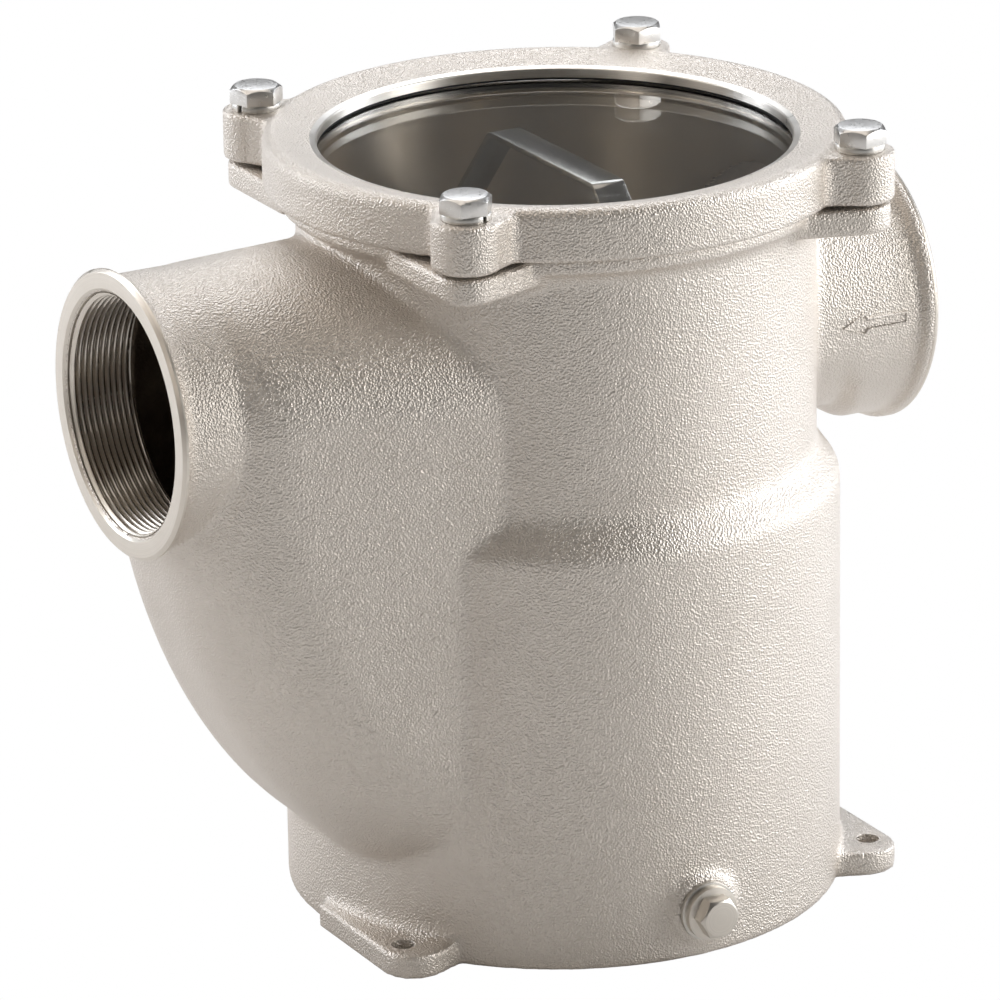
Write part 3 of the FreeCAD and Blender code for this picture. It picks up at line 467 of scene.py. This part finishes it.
class Skin:
    """Even mesh over a casting, as arrays in millimetres."""

    def __init__(self, node, face_size):
        form = welded(node)
        rough = bpy.data.meshes.new(node + "_welded")
        form.to_mesh(rough)
        form.free()
        holder = bpy.data.objects.new(node + "_holder", rough)
        bpy.context.scene.collection.objects.link(holder)
        change = holder.modifiers.new("even_faces", "REMESH")
        change.mode = "VOXEL"
        change.voxel_size = face_size * MM
        seen = holder.evaluated_get(bpy.context.evaluated_depsgraph_get())
        self.data = bpy.data.meshes.new_from_object(seen)
        bpy.data.objects.remove(holder)
        self.count = len(self.data.vertices)
        self.points = self.read(self.data.vertices, "co", 3, np.float32).astype(float) / MM
        self.edges = self.read(self.data.edges, "vertices", 2, np.int32)
        self.valence = np.bincount(self.edges.ravel(), minlength=self.count)[:, None]

    def read(self, items, name, width, kind):
        values = np.empty(len(items) * width, kind)
        items.foreach_get(name, values)
        return values.reshape(-1, width)

    def write(self):
        self.data.vertices.foreach_set("co", (self.points * MM).astype(np.float32).ravel())
        self.data.update()

    def normals(self):
        self.write()
        return self.read(self.data.vertex_normals, "vector", 3, np.float32)

    def step_to_neighbours(self):
        """Way from each point to the middle of its neighbours."""
        first, second = self.edges.T
        total = np.empty_like(self.points)
        for axis in range(3):
            column = self.points[:, axis]
            total[:, axis] = (np.bincount(first, column[second], self.count)
                              + np.bincount(second, column[first], self.count))
        return total / self.valence - self.points

    def even_out(self, rounds):
        """Take out the steps of the even mesh without shrinking it."""
        for _ in range(rounds):
            for share in EVEN_SHARES:
                self.points += share * self.step_to_neighbours()

    def fill_creases(self, rounds, free):
        """Round the hollow corners, as sand casting does, and leave the outer ones."""
        for step in range(rounds):
            if step % FILLS_PER_NORMAL == 0:
                normals = self.normals()
            outward = (self.step_to_neighbours() * normals).sum(axis=1)
            outward = np.where(free & (outward > LEAST_FILL), outward - LEAST_FILL, 0)
            self.points += FILL_SHARE * outward[:, None] * normals

    def soften(self, rounds, free):
        """Move the free points towards the middle of their neighbours."""
        for _ in range(rounds):
            step = SOFTEN_SHARE * self.step_to_neighbours()
            self.points += np.where(free[:, None], step, 0)

    def radius(self):
        return np.hypot(self.points[:, 0], self.points[:, 1])

    def from_port_axis(self):
        return np.hypot(self.points[:, 1], self.points[:, 2] - PORT_HEIGHT)

    def from_drain_axis(self):
        return np.hypot(self.points[:, 0], self.points[:, 2] - DRAIN_HEIGHT)

    def near_spots(self, radius, angles, distance):
        """Points near one of the upright axes that stand on a circle."""
        near = np.zeros(self.count, bool)
        for angle in angles:
            x, y = on_circle(radius, angle)
            near |= np.hypot(self.points[:, 0] - x, self.points[:, 1] - y) < distance
        return near

    def scale_across(self, factor):
        """Move points away from or towards the upright axis."""
        self.points[:, 0] *= factor
        self.points[:, 1] *= factor

    def reached_from(self, start, closed):
        """Points joined to the one nearest the start, without passing a closed one."""
        away = np.linalg.norm(self.points - np.array(start), axis=1)
        reached = np.zeros(self.count, bool)
        reached[np.argmin(away)] = True
        paths = self.edges[~closed[self.edges].any(axis=1)]
        while True:
            ends = reached[paths]
            fresh = ends[:, 0] != ends[:, 1]
            if not fresh.any():
                return reached
            reached[paths[fresh].ravel()] = True

    def face_values(self, marked):
        """For each face, whether its first corner is marked."""
        starts = self.read(self.data.polygons, "loop_start", 1, np.int32)[:, 0]
        corners = self.read(self.data.loops, "vertex_index", 1, np.int32)[:, 0]
        return marked[corners[starts]]

    def finish(self, finishes, marks):
        """Store the points and give each face the finish whose marks it carries."""
        self.write()
        self.data.materials.clear()
        for finish in finishes:
            self.data.materials.append(finish)
        choice = np.zeros(len(self.data.polygons), np.int32)
        for number, marked in enumerate(marks, start=1):
            choice[self.face_values(marked)] = number
        self.data.polygons.foreach_set("material_index", choice)
        self.data.polygons.foreach_set("use_smooth", [True] * len(self.data.polygons))
        self.data.update()
        return self.data


def on_circle(radius, angle):
    return radius * math.cos(math.radians(angle)), radius * math.sin(math.radians(angle))


def ease(values, start, end):
    """Rise from 0 to 1 between two values, level at both ends."""
    share = np.clip((values - start) / (end - start), 0, 1)
    return share * share * (3 - 2 * share)


# Skin of the body: how its mesh is made, and where its ledge is lifted
BODY_FACE_SIZE = 1.2
WATER_WAY_START = (0, 0, 8)
MOUTH_DEPTH = 1.5
FLANGE_MOUTH_DEPTH = 1
LEDGE_LIFT = 6.0
LIFT_GROWS = (108, 140)
LIFT_FADES = (172, 204)
LIFT_EDGE = (105, 113)
LEDGE_BAND = (146.5, 172.5)
LEDGE_RADIUS = 106
SKIN_INSET = 0.7

# Machined places of the body, where its skin stays as it is
POT_FLOOR = 7
BORE_REACH = 92
LOWER_BORE_REACH = LOWER_BORE_RADIUS + 2
LOWER_BORE_TOP = SEAT_HEIGHT - 3
DUCT_MOUTH = -85
PORT_BORE_REACH = 46
PORT_BORE_START = 100
PORT_RIM_LENGTH = 16
FLANGE_FACE_REACH = 99
FLANGE_FACE_DEPTH = 3
DRAIN_HOLE_REACH = 10
DRAIN_MOUTH = -95
FOOT_HOLE_REACH = 6.5
FOOT_HOLE_TOP = 12
BOLT_HOLE_REACH = 7

# Corners of the body with a full hollow round: its feet, its drain boss and its lugs
FOOT_ROUND_TOP = 20
DRAIN_ROUND_REACH = 24
DRAIN_ROUND_SIDE = -80
LOW_ROUND_TOP = 30
LUG_ROUND_REACH = 30
LUG_ROUND_TOP = FLANGE_TOP - 6
LUG_ROUND_BOTTOM = FLANGE_TOP - 50

# Bore of the body, true and bright above the basket's seat
BORE_PLAY = 1.2
BORE_BOTTOM = SEAT_HEIGHT + 1
BRIGHT_REACH = BORE_RADIUS + 1
BRIGHT_BOTTOM = SEAT_HEIGHT - 8


def body_mouths(skin):
    """Points at the openings, where the outside meets the water ways."""
    x, y, z = skin.points.T
    mouths = (z > FLANGE_TOP - FLANGE_MOUTH_DEPTH) | (x < MOUTH_DEPTH - OUTLET_REACH)
    mouths |= x > INLET_REACH - MOUTH_DEPTH
    mouths |= (skin.from_drain_axis() < DRAIN_HOLE_REACH) & (y < DRAIN_MOUTH)
    return mouths


def lift_ledge(skin, outer):
    """Raise the outer ledge between the two barrels, which the rigid casting has lower."""
    height = skin.points[:, 2]
    share = ease(height, *LIFT_GROWS) * (1 - ease(height, *LIFT_FADES))
    share *= 1 - ease(skin.radius(), *LIFT_EDGE)
    height += np.where(outer, LEDGE_LIFT * share, 0)


def machined_places(skin):
    """Points of the bores, seats and drilled holes."""
    x, y, z = skin.points.T
    radius = skin.radius()
    inside = z > POT_FLOOR
    places = (radius < BORE_REACH) & inside
    places |= (radius < LOWER_BORE_REACH) & inside & (z < LOWER_BORE_TOP) & (x > DUCT_MOUTH)
    places |= (skin.from_port_axis() < PORT_BORE_REACH) & (np.abs(x) > PORT_BORE_START)
    places |= (z > FLANGE_TOP - FLANGE_FACE_DEPTH) & (radius < FLANGE_FACE_REACH)
    places |= (skin.from_drain_axis() < DRAIN_HOLE_REACH) & (y < 0)
    foot_holes = skin.near_spots(FOOT_CIRCLE_RADIUS, FOOT_ANGLES, FOOT_HOLE_REACH)
    places |= foot_holes & (z < FOOT_HOLE_TOP)
    return places | skin.near_spots(BOLT_CIRCLE_RADIUS, BOLT_ANGLES, BOLT_HOLE_REACH)


def port_rims(skin):
    """Points of the raised rims at the ends of both ports."""
    x = skin.points[:, 0]
    ends = (x > INLET_REACH - PORT_RIM_LENGTH) | (x < PORT_RIM_LENGTH - OUTLET_REACH)
    return ends & (skin.from_port_axis() > PORT_BORE_REACH)


def full_rounds(skin):
    """Points round the feet, the drain boss and the lugs."""
    x, y, z = skin.points.T
    full = (skin.from_drain_axis() < DRAIN_ROUND_REACH) & (y < DRAIN_ROUND_SIDE)
    full |= z < FOOT_ROUND_TOP
    lugs = skin.near_spots(BOLT_CIRCLE_RADIUS, BOLT_ANGLES, LUG_ROUND_REACH)
    full |= lugs & (z < LUG_ROUND_TOP)
    return full & ((z < LOW_ROUND_TOP) | (z > LUG_ROUND_BOTTOM))


def ledge_place(skin):
    """Points of the band round the ledge."""
    z = skin.points[:, 2]
    return (z > LEDGE_BAND[0]) & (z < LEDGE_BAND[1]) & (skin.radius() < LEDGE_RADIUS)


def true_faces(skin):
    """Draw the skin in behind the port rims, and lay the flange, the base and the bore true."""
    x, y, z = skin.points.T
    np.clip(x, SKIN_INSET - OUTLET_REACH, INLET_REACH - SKIN_INSET, out=x)
    np.clip(z, 0, FLANGE_TOP, out=z)
    radius = skin.radius()
    bored = (np.abs(radius - BORE_RADIUS) < BORE_PLAY) & (z > BORE_BOTTOM)
    skin.scale_across(np.where(bored, BORE_RADIUS / radius, 1))


def body_skin():
    """Cast skin of the body, with machined bores and water ways painted dark as shade."""
    skin = Skin("body_casting", BODY_FACE_SIZE)
    skin.even_out(rounds=12)
    cavity = skin.reached_from(WATER_WAY_START, body_mouths(skin))
    lift_ledge(skin, ~cavity)
    free = ~machined_places(skin)
    plain = free & ~port_rims(skin)
    skin.fill_creases(rounds=3, free=free)
    skin.fill_creases(rounds=5, free=plain)
    skin.fill_creases(rounds=30, free=free & full_rounds(skin))
    skin.soften(rounds=2, free=free)
    skin.soften(rounds=6, free=free & ~cavity & ledge_place(skin))
    true_faces(skin)
    bright = (skin.radius() < BRIGHT_REACH) & (skin.points[:, 2] > BRIGHT_BOTTOM)
    # The water ways take a dark colour that is painted shade, on metal that is the same as outside.
    data = skin.finish([CAST, CAVITY_PAINTED_SHADE, BORE], [cavity, bright])
    add_piece("body_cast_skin", data, "casting", ["body_casting"])


# Machined edge of the cover round the window
WINDOW_LIP_RADIUS = 86.1
LIP_BOTTOM = FLANGE_TOP + 12.5
LIP_TOP = LIP_BOTTOM + 3.4
LIP_ROUNDING = 0.8
LIP_SEGMENTS = 256

# Skin of the cover
COVER_FACE_SIZE = 1.0
COVER_FACE_REACH = 99
COVER_HOLE_REACH = 8
COVER_HOLE_RADIUS = WINDOW_LIP_RADIUS + 0.5


def cover_skin():
    """Cast skin of the cover ring, with soft corners where the lugs join."""
    skin = Skin("cover_ring", COVER_FACE_SIZE)
    skin.even_out(rounds=3)
    free = skin.radius() >= COVER_FACE_REACH
    free &= ~skin.near_spots(BOLT_CIRCLE_RADIUS, BOLT_ANGLES, COVER_HOLE_REACH)
    skin.fill_creases(rounds=24, free=free)
    skin.soften(rounds=3, free=free)
    radius = skin.radius()
    skin.scale_across(np.where(radius < COVER_HOLE_RADIUS, COVER_HOLE_RADIUS / radius, 1))
    data = skin.finish([CAST], [])
    add_piece("cover_cast_skin", data, "cover", ["cover_ring"])


def window_lip():
    """Bright machined edge of the cover round the window."""
    corners = [(WINDOW_LIP_RADIUS, LIP_BOTTOM + 0.1),
               (WINDOW_LIP_RADIUS, LIP_TOP + 0.05, LIP_ROUNDING),
               (WINDOW_LIP_RADIUS + 2.6, LIP_TOP + 0.75), (WINDOW_LIP_RADIUS + 3, LIP_TOP - 0.5),
               (WINDOW_LIP_RADIUS + 2, LIP_BOTTOM + 0.5)]
    data = turned_mesh("window_lip", corners, LIP, LIP_SEGMENTS)
    add_piece("window_lip", data, "cover")


# Rims and pipe threads of the ports
THREAD_CREST = 42.46
THREAD_ROOT = 43.94
THREAD_PITCH = 2.309
THREAD_LENGTH = 25.5
THREAD_OVERLAP = 0.4
THREAD_SEGMENTS = 160
MOUTH_CHAMFER = 1.6
MOUTH_ROUNDING = 0.2
RIM_CHAMFER = 1.2
RIM_ROUNDING = 0.25
RIM_LAND = 0.9
RIM_SEGMENTS = 220


def port_machining(name, stand, reach):
    """Machined rim and pipe thread of one port."""
    mouth = reach - MOUTH_CHAMFER
    land = reach - RIM_CHAMFER - RIM_LAND
    corners = [(THREAD_ROOT, mouth - 1), (THREAD_ROOT, mouth),
               (THREAD_ROOT + MOUTH_CHAMFER, reach, MOUTH_ROUNDING),
               (PORT_RIM_RADIUS - RIM_CHAMFER, reach, RIM_ROUNDING),
               (PORT_RIM_RADIUS, reach - RIM_CHAMFER, RIM_ROUNDING),
               (PORT_RIM_RADIUS, land), (PORT_RIM_RADIUS - 2, land - 1)]
    data = turned_mesh(name + "_rim", corners, PORT_FACE, RIM_SEGMENTS, stand)
    add_piece(name + "_rim", data, "casting")
    data = thread_mesh(name + "_thread", THREAD_ROOT, THREAD_CREST, THREAD_PITCH,
                       mouth - THREAD_LENGTH, mouth + THREAD_OVERLAP, PORT_FACE, stand,
                       THREAD_SEGMENTS)
    add_piece(name + "_thread", data, "casting")


# Drilled holes of the feet
FOOT_THICKNESS = 9.0
FOOT_HOLE_RADIUS = 4.25
FOOT_EDGE_WIDTH = 1.2
FOOT_EDGE_BOTTOM = 0.3
FOOT_EDGE_ROUNDING = 0.3
FOOT_EDGE_SEGMENTS = 48


def foot_hole_edges():
    """Clean drilled edge round each foot hole."""
    corners = [(FOOT_HOLE_RADIUS, FOOT_EDGE_BOTTOM),
               (FOOT_HOLE_RADIUS, FOOT_THICKNESS, FOOT_EDGE_ROUNDING),
               (FOOT_HOLE_RADIUS + FOOT_EDGE_WIDTH, FOOT_THICKNESS - 0.02),
               (FOOT_HOLE_RADIUS + FOOT_EDGE_WIDTH + 0.3, FOOT_THICKNESS - 0.5),
               (FOOT_HOLE_RADIUS + FOOT_EDGE_WIDTH - 0.3, FOOT_EDGE_BOTTOM)]
    for number, angle in enumerate(FOOT_ANGLES, start=1):
        name = "foot_hole_edge_%d" % number
        stand = Matrix.Translation((*on_circle(FOOT_CIRCLE_RADIUS, angle), 0))
        data = turned_mesh(name, corners, CAST, FOOT_EDGE_SEGMENTS, stand)
        add_piece(name, data, "casting")


# Flow arrow: its outline along the inlet tube and round it
ARROW_OUTLINE = [(92.0, 0.0), (101.2, 3.9), (102.2, 1.9), (119.0, 1.9), (119.0, -1.9),
                 (102.2, -1.9), (101.2, -3.9)]
ARROW_LINE_RADIUS = 0.7
ARROW_SINK = 0.1


def flow_arrow():
    """Raised outline of an arrow, cast on the front of the inlet tube."""
    curve = bpy.data.curves.new("flow_arrow", "CURVE")
    curve.dimensions = "3D"
    curve.bevel_depth = ARROW_LINE_RADIUS * MM
    curve.bevel_resolution = 3
    line = curve.splines.new("POLY")
    line.use_cyclic_u = True
    line.points.add(len(ARROW_OUTLINE) - 1)
    reach = PORT_TUBE_RADIUS - ARROW_SINK
    for point, (along, round_tube) in zip(line.points, ARROW_OUTLINE):
        angle = round_tube / PORT_TUBE_RADIUS
        point.co = (along * MM, -reach * math.cos(angle) * MM,
                    (PORT_HEIGHT + reach * math.sin(angle)) * MM, 1)
    curve.materials.append(CAST)
    add_piece("flow_arrow", curve, "casting")


# Fasteners
BOLT_SEAT = FLANGE_TOP + 21
BOLT_LENGTH = 30.0
BOLT_PITCH = 1.5
BOLT_THREAD_ROOT = 4.15
BOLT_POINT_RADIUS = BOLT_THREAD_ROOT - 0.3
BOLT_PLAIN_LENGTH = 6.0
BOLT_SHANK_RADIUS = 4.95
BOLT_HEAD_ROUNDING = 0.22
BOLT_HEAD_BOTTOM = BOLT_SEAT - 0.05
BOLT_NECK_BOTTOM = BOLT_SEAT - BOLT_PLAIN_LENGTH - 0.1
BOLT_NECK_TOP = BOLT_SEAT + 1
BOLT_NECK_HOLLOW = 0.5
BOLT_SEGMENTS = 40
BOLT_ROWS_PER_TURN = 8


def cover_bolts():
    """Hexagon heads of the cover bolts, each on a plain neck and a threaded shank."""
    neck = [(BOLT_NECK_HOLLOW, BOLT_NECK_BOTTOM), (BOLT_SHANK_RADIUS, BOLT_NECK_BOTTOM),
            (BOLT_SHANK_RADIUS, BOLT_NECK_TOP), (BOLT_NECK_HOLLOW, BOLT_NECK_TOP)]
    for number, angle in enumerate(BOLT_ANGLES, start=1):
        node = "cover_bolt_%d" % number
        stand = Matrix.Translation((*on_circle(BOLT_CIRCLE_RADIUS, angle), 0))
        data = crisp_mesh(node, BOLT_HEAD_ROUNDING, BOLT_HEAD_BOTTOM)
        add_piece(node + "_head", data, BODY_OF[node], [node])
        data = thread_mesh(node + "_shank", BOLT_SHANK_RADIUS, BOLT_THREAD_ROOT, BOLT_PITCH,
                           BOLT_SEAT - BOLT_LENGTH, BOLT_SEAT - BOLT_PLAIN_LENGTH, BOLT, stand,
                           BOLT_SEGMENTS, BOLT_ROWS_PER_TURN, BOLT_POINT_RADIUS)
        add_piece(node + "_shank", data, BODY_OF[node])
        data = turned_mesh(node + "_neck", neck, BOLT, BOLT_SEGMENTS, stand)
        add_piece(node + "_neck", data, BODY_OF[node])


EDGE_WIDTHS = {
    "drain_plug": 0.3, "drain_washer": 0.25, "basket_floor": 0.2, "basket_top_rim": 0.3,
    "basket_bottom_band": 0.2, "basket_seam": 0.2, "basket_handle": 0.4, "handle_rivets": 0.3,
    "spring_washer_1": 0.35, "spring_washer_2": 0.35, "spring_washer_3": 0.35,
    "spring_washer_4": 0.35,
}


def crisp_parts():
    """Turned, pressed and bent parts, with their edges slightly rounded."""
    for node, width in EDGE_WIDTHS.items():
        add_piece(node + "_part", crisp_mesh(node, width), BODY_OF[node], [node])


# Basket wall
BASKET_RADIUS = 79.0
BASKET_SHEET = 1.0
BASKET_BOTTOM = 14.0
HOLE_COLUMNS = 84
HOLE_RADIUS = 1.9
HOLE_CORNERS = 12
PLAIN_EDGE = 13.0
CELL_WELD = 0.05 * MM
CELL_WIDTH = FULL_TURN * BASKET_RADIUS / HOLE_COLUMNS
CELL_CORNER_REACH = CELL_WIDTH / math.sqrt(3)
ROW_PITCH = CELL_WIDTH * math.sqrt(3) / 2
HOLE_ROWS = int((SEAT_HEIGHT - BASKET_BOTTOM - 2 * PLAIN_EDGE) / ROW_PITCH)
HALF_ROWS_SPAN = (HOLE_ROWS - 1) * ROW_PITCH / 2
ROWS_MIDDLE = (SEAT_HEIGHT + BASKET_BOTTOM) / 2


def on_wall(form, across, height):
    """Point of the wall at a way round it and a height."""
    angle = across / BASKET_RADIUS
    return form.verts.new((BASKET_RADIUS * math.cos(angle) * MM,
                           BASKET_RADIUS * math.sin(angle) * MM, height * MM))


def wall_cell(form, across, height):
    """One round hole in its hexagon of sheet."""
    rim, edge = [], []
    for step in range(HOLE_CORNERS):
        angle = FULL_TURN * step / HOLE_CORNERS
        cosine, sine = math.cos(angle), math.sin(angle)
        reach = CELL_CORNER_REACH if step % 2 else CELL_WIDTH / 2
        rim.append(on_wall(form, across + HOLE_RADIUS * cosine, height + HOLE_RADIUS * sine))
        edge.append(on_wall(form, across + reach * cosine, height + reach * sine))
    for step in range(HOLE_CORNERS):
        after = (step + 1) % HOLE_CORNERS
        form.faces.new((edge[step], edge[after], rim[after], rim[step]))


def plain_border(form, border, way):
    """Sheet without holes, from the last row up or down to a border of the wall."""
    least = HALF_ROWS_SPAN + HOLE_RADIUS + 0.3
    rising = [edge for edge in form.edges if edge.is_boundary
              and all((vert.co.z / MM - ROWS_MIDDLE) * way > least for vert in edge.verts)]
    made = bmesh.ops.extrude_edge_only(form, edges=rising)["geom"]
    for vert in made:
        if isinstance(vert, bmesh.types.BMVert):
            vert.co.z = border * MM


def perforated_wall():
    """Rolled sheet with round holes in a honeycomb, from one cell that repeats."""
    form = bmesh.new()
    low = ROWS_MIDDLE - HALF_ROWS_SPAN
    for row in range(HOLE_ROWS):
        for column in range(HOLE_COLUMNS):
            wall_cell(form, (column + 0.5 * (row % 2)) * CELL_WIDTH, low + row * ROW_PITCH)
    bmesh.ops.remove_doubles(form, verts=form.verts, dist=CELL_WELD)
    plain_border(form, BASKET_BOTTOM, -1)
    plain_border(form, SEAT_HEIGHT, 1)
    bmesh.ops.recalc_face_normals(form, faces=form.faces)
    data = data_from(form, "perforated_wall", BASKET)
    wall = add_piece("perforated_wall", data, "basket", ["basket_wall"])
    sheet = wall.modifiers.new("sheet", "SOLIDIFY")
    sheet.thickness = BASKET_SHEET * MM
    sheet.offset = -1


def plain_nodes():
    """Solids that are shown as they come: the seals and the flat pane."""
    for node in ("window_gasket", "cover_oring", "sight_window"):
        NODES[node].data.materials.clear()
        NODES[node].data.materials.append(FINISH_OF_SLOT[SLOT_OF[node]])


# Stage, in metres
FLOOR_SIZE = 6.0
FLOOR_WIDTH_SHARE = 1.5
BACKDROP_RISE = 4.0
BACKDROP_BEND = 1.2
BACKDROP_STEPS = 12
FLOOR_DROP = 0.0002
ROOM_STRENGTH = 0.05


def stage_profile():
    """Places back from the object and heights, along the middle of the floor and backdrop."""
    bend_start = FLOOR_SIZE - BACKDROP_BEND
    profile = [(-FLOOR_SIZE, 0.0), (bend_start, 0.0)]
    for step in range(1, BACKDROP_STEPS + 1):
        angle = QUARTER_TURN * step / BACKDROP_STEPS
        profile.append((bend_start + BACKDROP_BEND * math.sin(angle),
                        BACKDROP_BEND - BACKDROP_BEND * math.cos(angle)))
    profile.append((FLOOR_SIZE, BACKDROP_RISE))
    return profile


def pale_stage():
    """Floor that curves up behind into a backdrop, seen white and lit softly."""
    form = bmesh.new()
    half_width = FLOOR_SIZE * FLOOR_WIDTH_SHARE
    rows = []
    for y, z in stage_profile():
        rows.append([form.verts.new((x, y, z)) for x in (-half_width, half_width)])
    for low, high in zip(rows, rows[1:]):
        form.faces.new((low[0], low[1], high[1], high[0]))
    data = bpy.data.meshes.new("studio_floor")
    form.to_mesh(data)
    form.free()
    for face in data.polygons:
        face.use_smooth = True
    floor = bpy.data.objects.new("studio_floor", data)
    bpy.context.scene.collection.objects.link(floor)
    floor.rotation_euler = (0, 0, math.radians(CAMERA_AZIMUTH))
    floor.location = (0, 0, -FLOOR_DROP)
    data.materials.append(floor_material())


def floor_material():
    """White to the camera and matt to the light."""
    made, tree, shader = new_material("studio_floor")
    shader.inputs["Base Color"].default_value = (0.9, 0.9, 0.9, 1)
    shader.inputs["Roughness"].default_value = 0.9
    glow = add(tree, "ShaderNodeEmission", Color=(1, 1, 1, 1), Strength=1.0)
    path = add(tree, "ShaderNodeLightPath")
    mix = add(tree, "ShaderNodeMixShader", Fac=path.outputs["Is Camera Ray"])
    tree.links.new(shader.outputs["BSDF"], mix.inputs[1])
    tree.links.new(glow.outputs[0], mix.inputs[2])
    output = [node for node in tree.nodes if node.type == "OUTPUT_MATERIAL"][0]
    tree.links.new(mix.outputs[0], output.inputs["Surface"])
    return made


def white_world():
    """White to the camera, dimmer to the object."""
    world = bpy.data.worlds.new("studio")
    bpy.context.scene.world = world
    world.use_nodes = True
    tree = world.node_tree
    tree.nodes.clear()
    output = tree.nodes.new("ShaderNodeOutputWorld")
    seen = add(tree, "ShaderNodeBackground", Color=(1, 1, 1, 1), Strength=1.0)
    lit = add(tree, "ShaderNodeBackground", Color=(1, 0.985, 0.96, 1), Strength=ROOM_STRENGTH)
    path = add(tree, "ShaderNodeLightPath")
    mix = add(tree, "ShaderNodeMixShader", Fac=path.outputs["Is Camera Ray"])
    tree.links.new(lit.outputs[0], mix.inputs[1])
    tree.links.new(seen.outputs[0], mix.inputs[2])
    tree.links.new(mix.outputs[0], output.inputs["Surface"])


# Camera, from the circles of the cover, the ports and the base in the photograph
CAMERA_AZIMUTH = -28.4975
CAMERA_ELEVATION = 19.4846
CAMERA_ROLL = -0.91
CAMERA_DISTANCE = 2.610593
CAMERA_TARGET = Vector((-0.017078, 0.0143938, 0.142723))
CAMERA_SIGHT = 100
FOCAL_PIXELS = 7085.3
IMAGE_PIXELS = 1000
SENSOR_WIDTH = 36.0


def camera_axes():
    """Right, up and back of the camera before its roll."""
    azimuth, elevation = math.radians(CAMERA_AZIMUTH), math.radians(CAMERA_ELEVATION)
    back = Vector((math.sin(azimuth) * math.cos(elevation),
                   -math.cos(azimuth) * math.cos(elevation), math.sin(elevation)))
    right = Vector((math.cos(azimuth), math.sin(azimuth), 0))
    return right, back.cross(right), back


def photo_camera():
    """Camera at the photograph's place, with its small roll."""
    right, up, back = camera_axes()
    roll = math.radians(CAMERA_ROLL)
    turned_right = right * math.cos(roll) + up * math.sin(roll)
    turned_up = up * math.cos(roll) - right * math.sin(roll)
    data = bpy.data.cameras.new("photo_camera")
    data.sensor_width = SENSOR_WIDTH
    data.lens = FOCAL_PIXELS * SENSOR_WIDTH / IMAGE_PIXELS
    data.clip_end = CAMERA_SIGHT
    camera = bpy.data.objects.new("photo_camera", data)
    bpy.context.scene.collection.objects.link(camera)
    axes = Matrix((turned_right, turned_up, back)).transposed().to_4x4()
    camera.matrix_world = Matrix.Translation(CAMERA_TARGET + back * CAMERA_DISTANCE) @ axes
    bpy.context.scene.camera = camera


# Lamps: across to the camera's right, towards the camera, height, width, tall, watts, tint
WARM = (1.0, 0.91, 0.82)
NEUTRAL = (1.0, 0.98, 0.95)
COOL = (0.92, 0.95, 1.0)
LAMPS = {
    "right_panel": (2.0, 0.5, 0.7, 0.9, 1.8, 20, NEUTRAL),
    "right_back_panel": (1.8, -0.8, 0.8, 0.8, 1.6, 24, COOL),
    "left_panel": (-2.0, 0.3, 0.9, 0.9, 1.6, 4, WARM),
    "left_back_panel": (-1.8, -0.9, 0.9, 0.8, 1.6, 18, COOL),
    "top_panel": (0.0, -0.2, 2.1, 1.6, 1.2, 7, WARM),
    "top_back_panel": (0.0, -1.6, 1.7, 1.8, 0.9, 17, COOL),
    "top_left_panel": (-1.3, -0.2, 1.9, 0.9, 0.9, 3.5, WARM),
    "top_front_panel": (-0.8, 0.9, 2.0, 1.2, 0.8, 1.5, WARM),
    "bore_strip": (-1.35, 1.5, 1.1, 0.15, 1.0, 3, WARM),
}
LAMP_AIM = Vector((0, 0, 0.14))


def studio_lamps():
    """Soft panels round the object, placed as the camera sees them."""
    right, _, back = camera_axes()
    towards = Vector((back.x, back.y, 0)).normalized()
    for name, (across, ahead, height, width, tall, watts, tint) in LAMPS.items():
        data = bpy.data.lights.new(name, "AREA")
        data.shape = "RECTANGLE"
        data.size = width
        data.size_y = tall
        data.energy = watts
        data.color = tint
        lamp = bpy.data.objects.new(name, data)
        place = right * across + towards * ahead + Vector((0, 0, height))
        lamp.location = place
        lamp.rotation_euler = (LAMP_AIM - place).to_track_quat("-Z", "Y").to_euler()
        bpy.context.scene.collection.objects.link(lamp)


body_skin()
cover_skin()
window_lip()
port_machining("inlet", INLET_STAND, INLET_REACH)
port_machining("outlet", OUTLET_STAND, OUTLET_REACH)
foot_hole_edges()
flow_arrow()
cover_bolts()
crisp_parts()
perforated_wall()
plain_nodes()
pale_stage()
white_world()
studio_lamps()
photo_camera()
bpy.context.scene.view_settings.view_transform = "Standard"
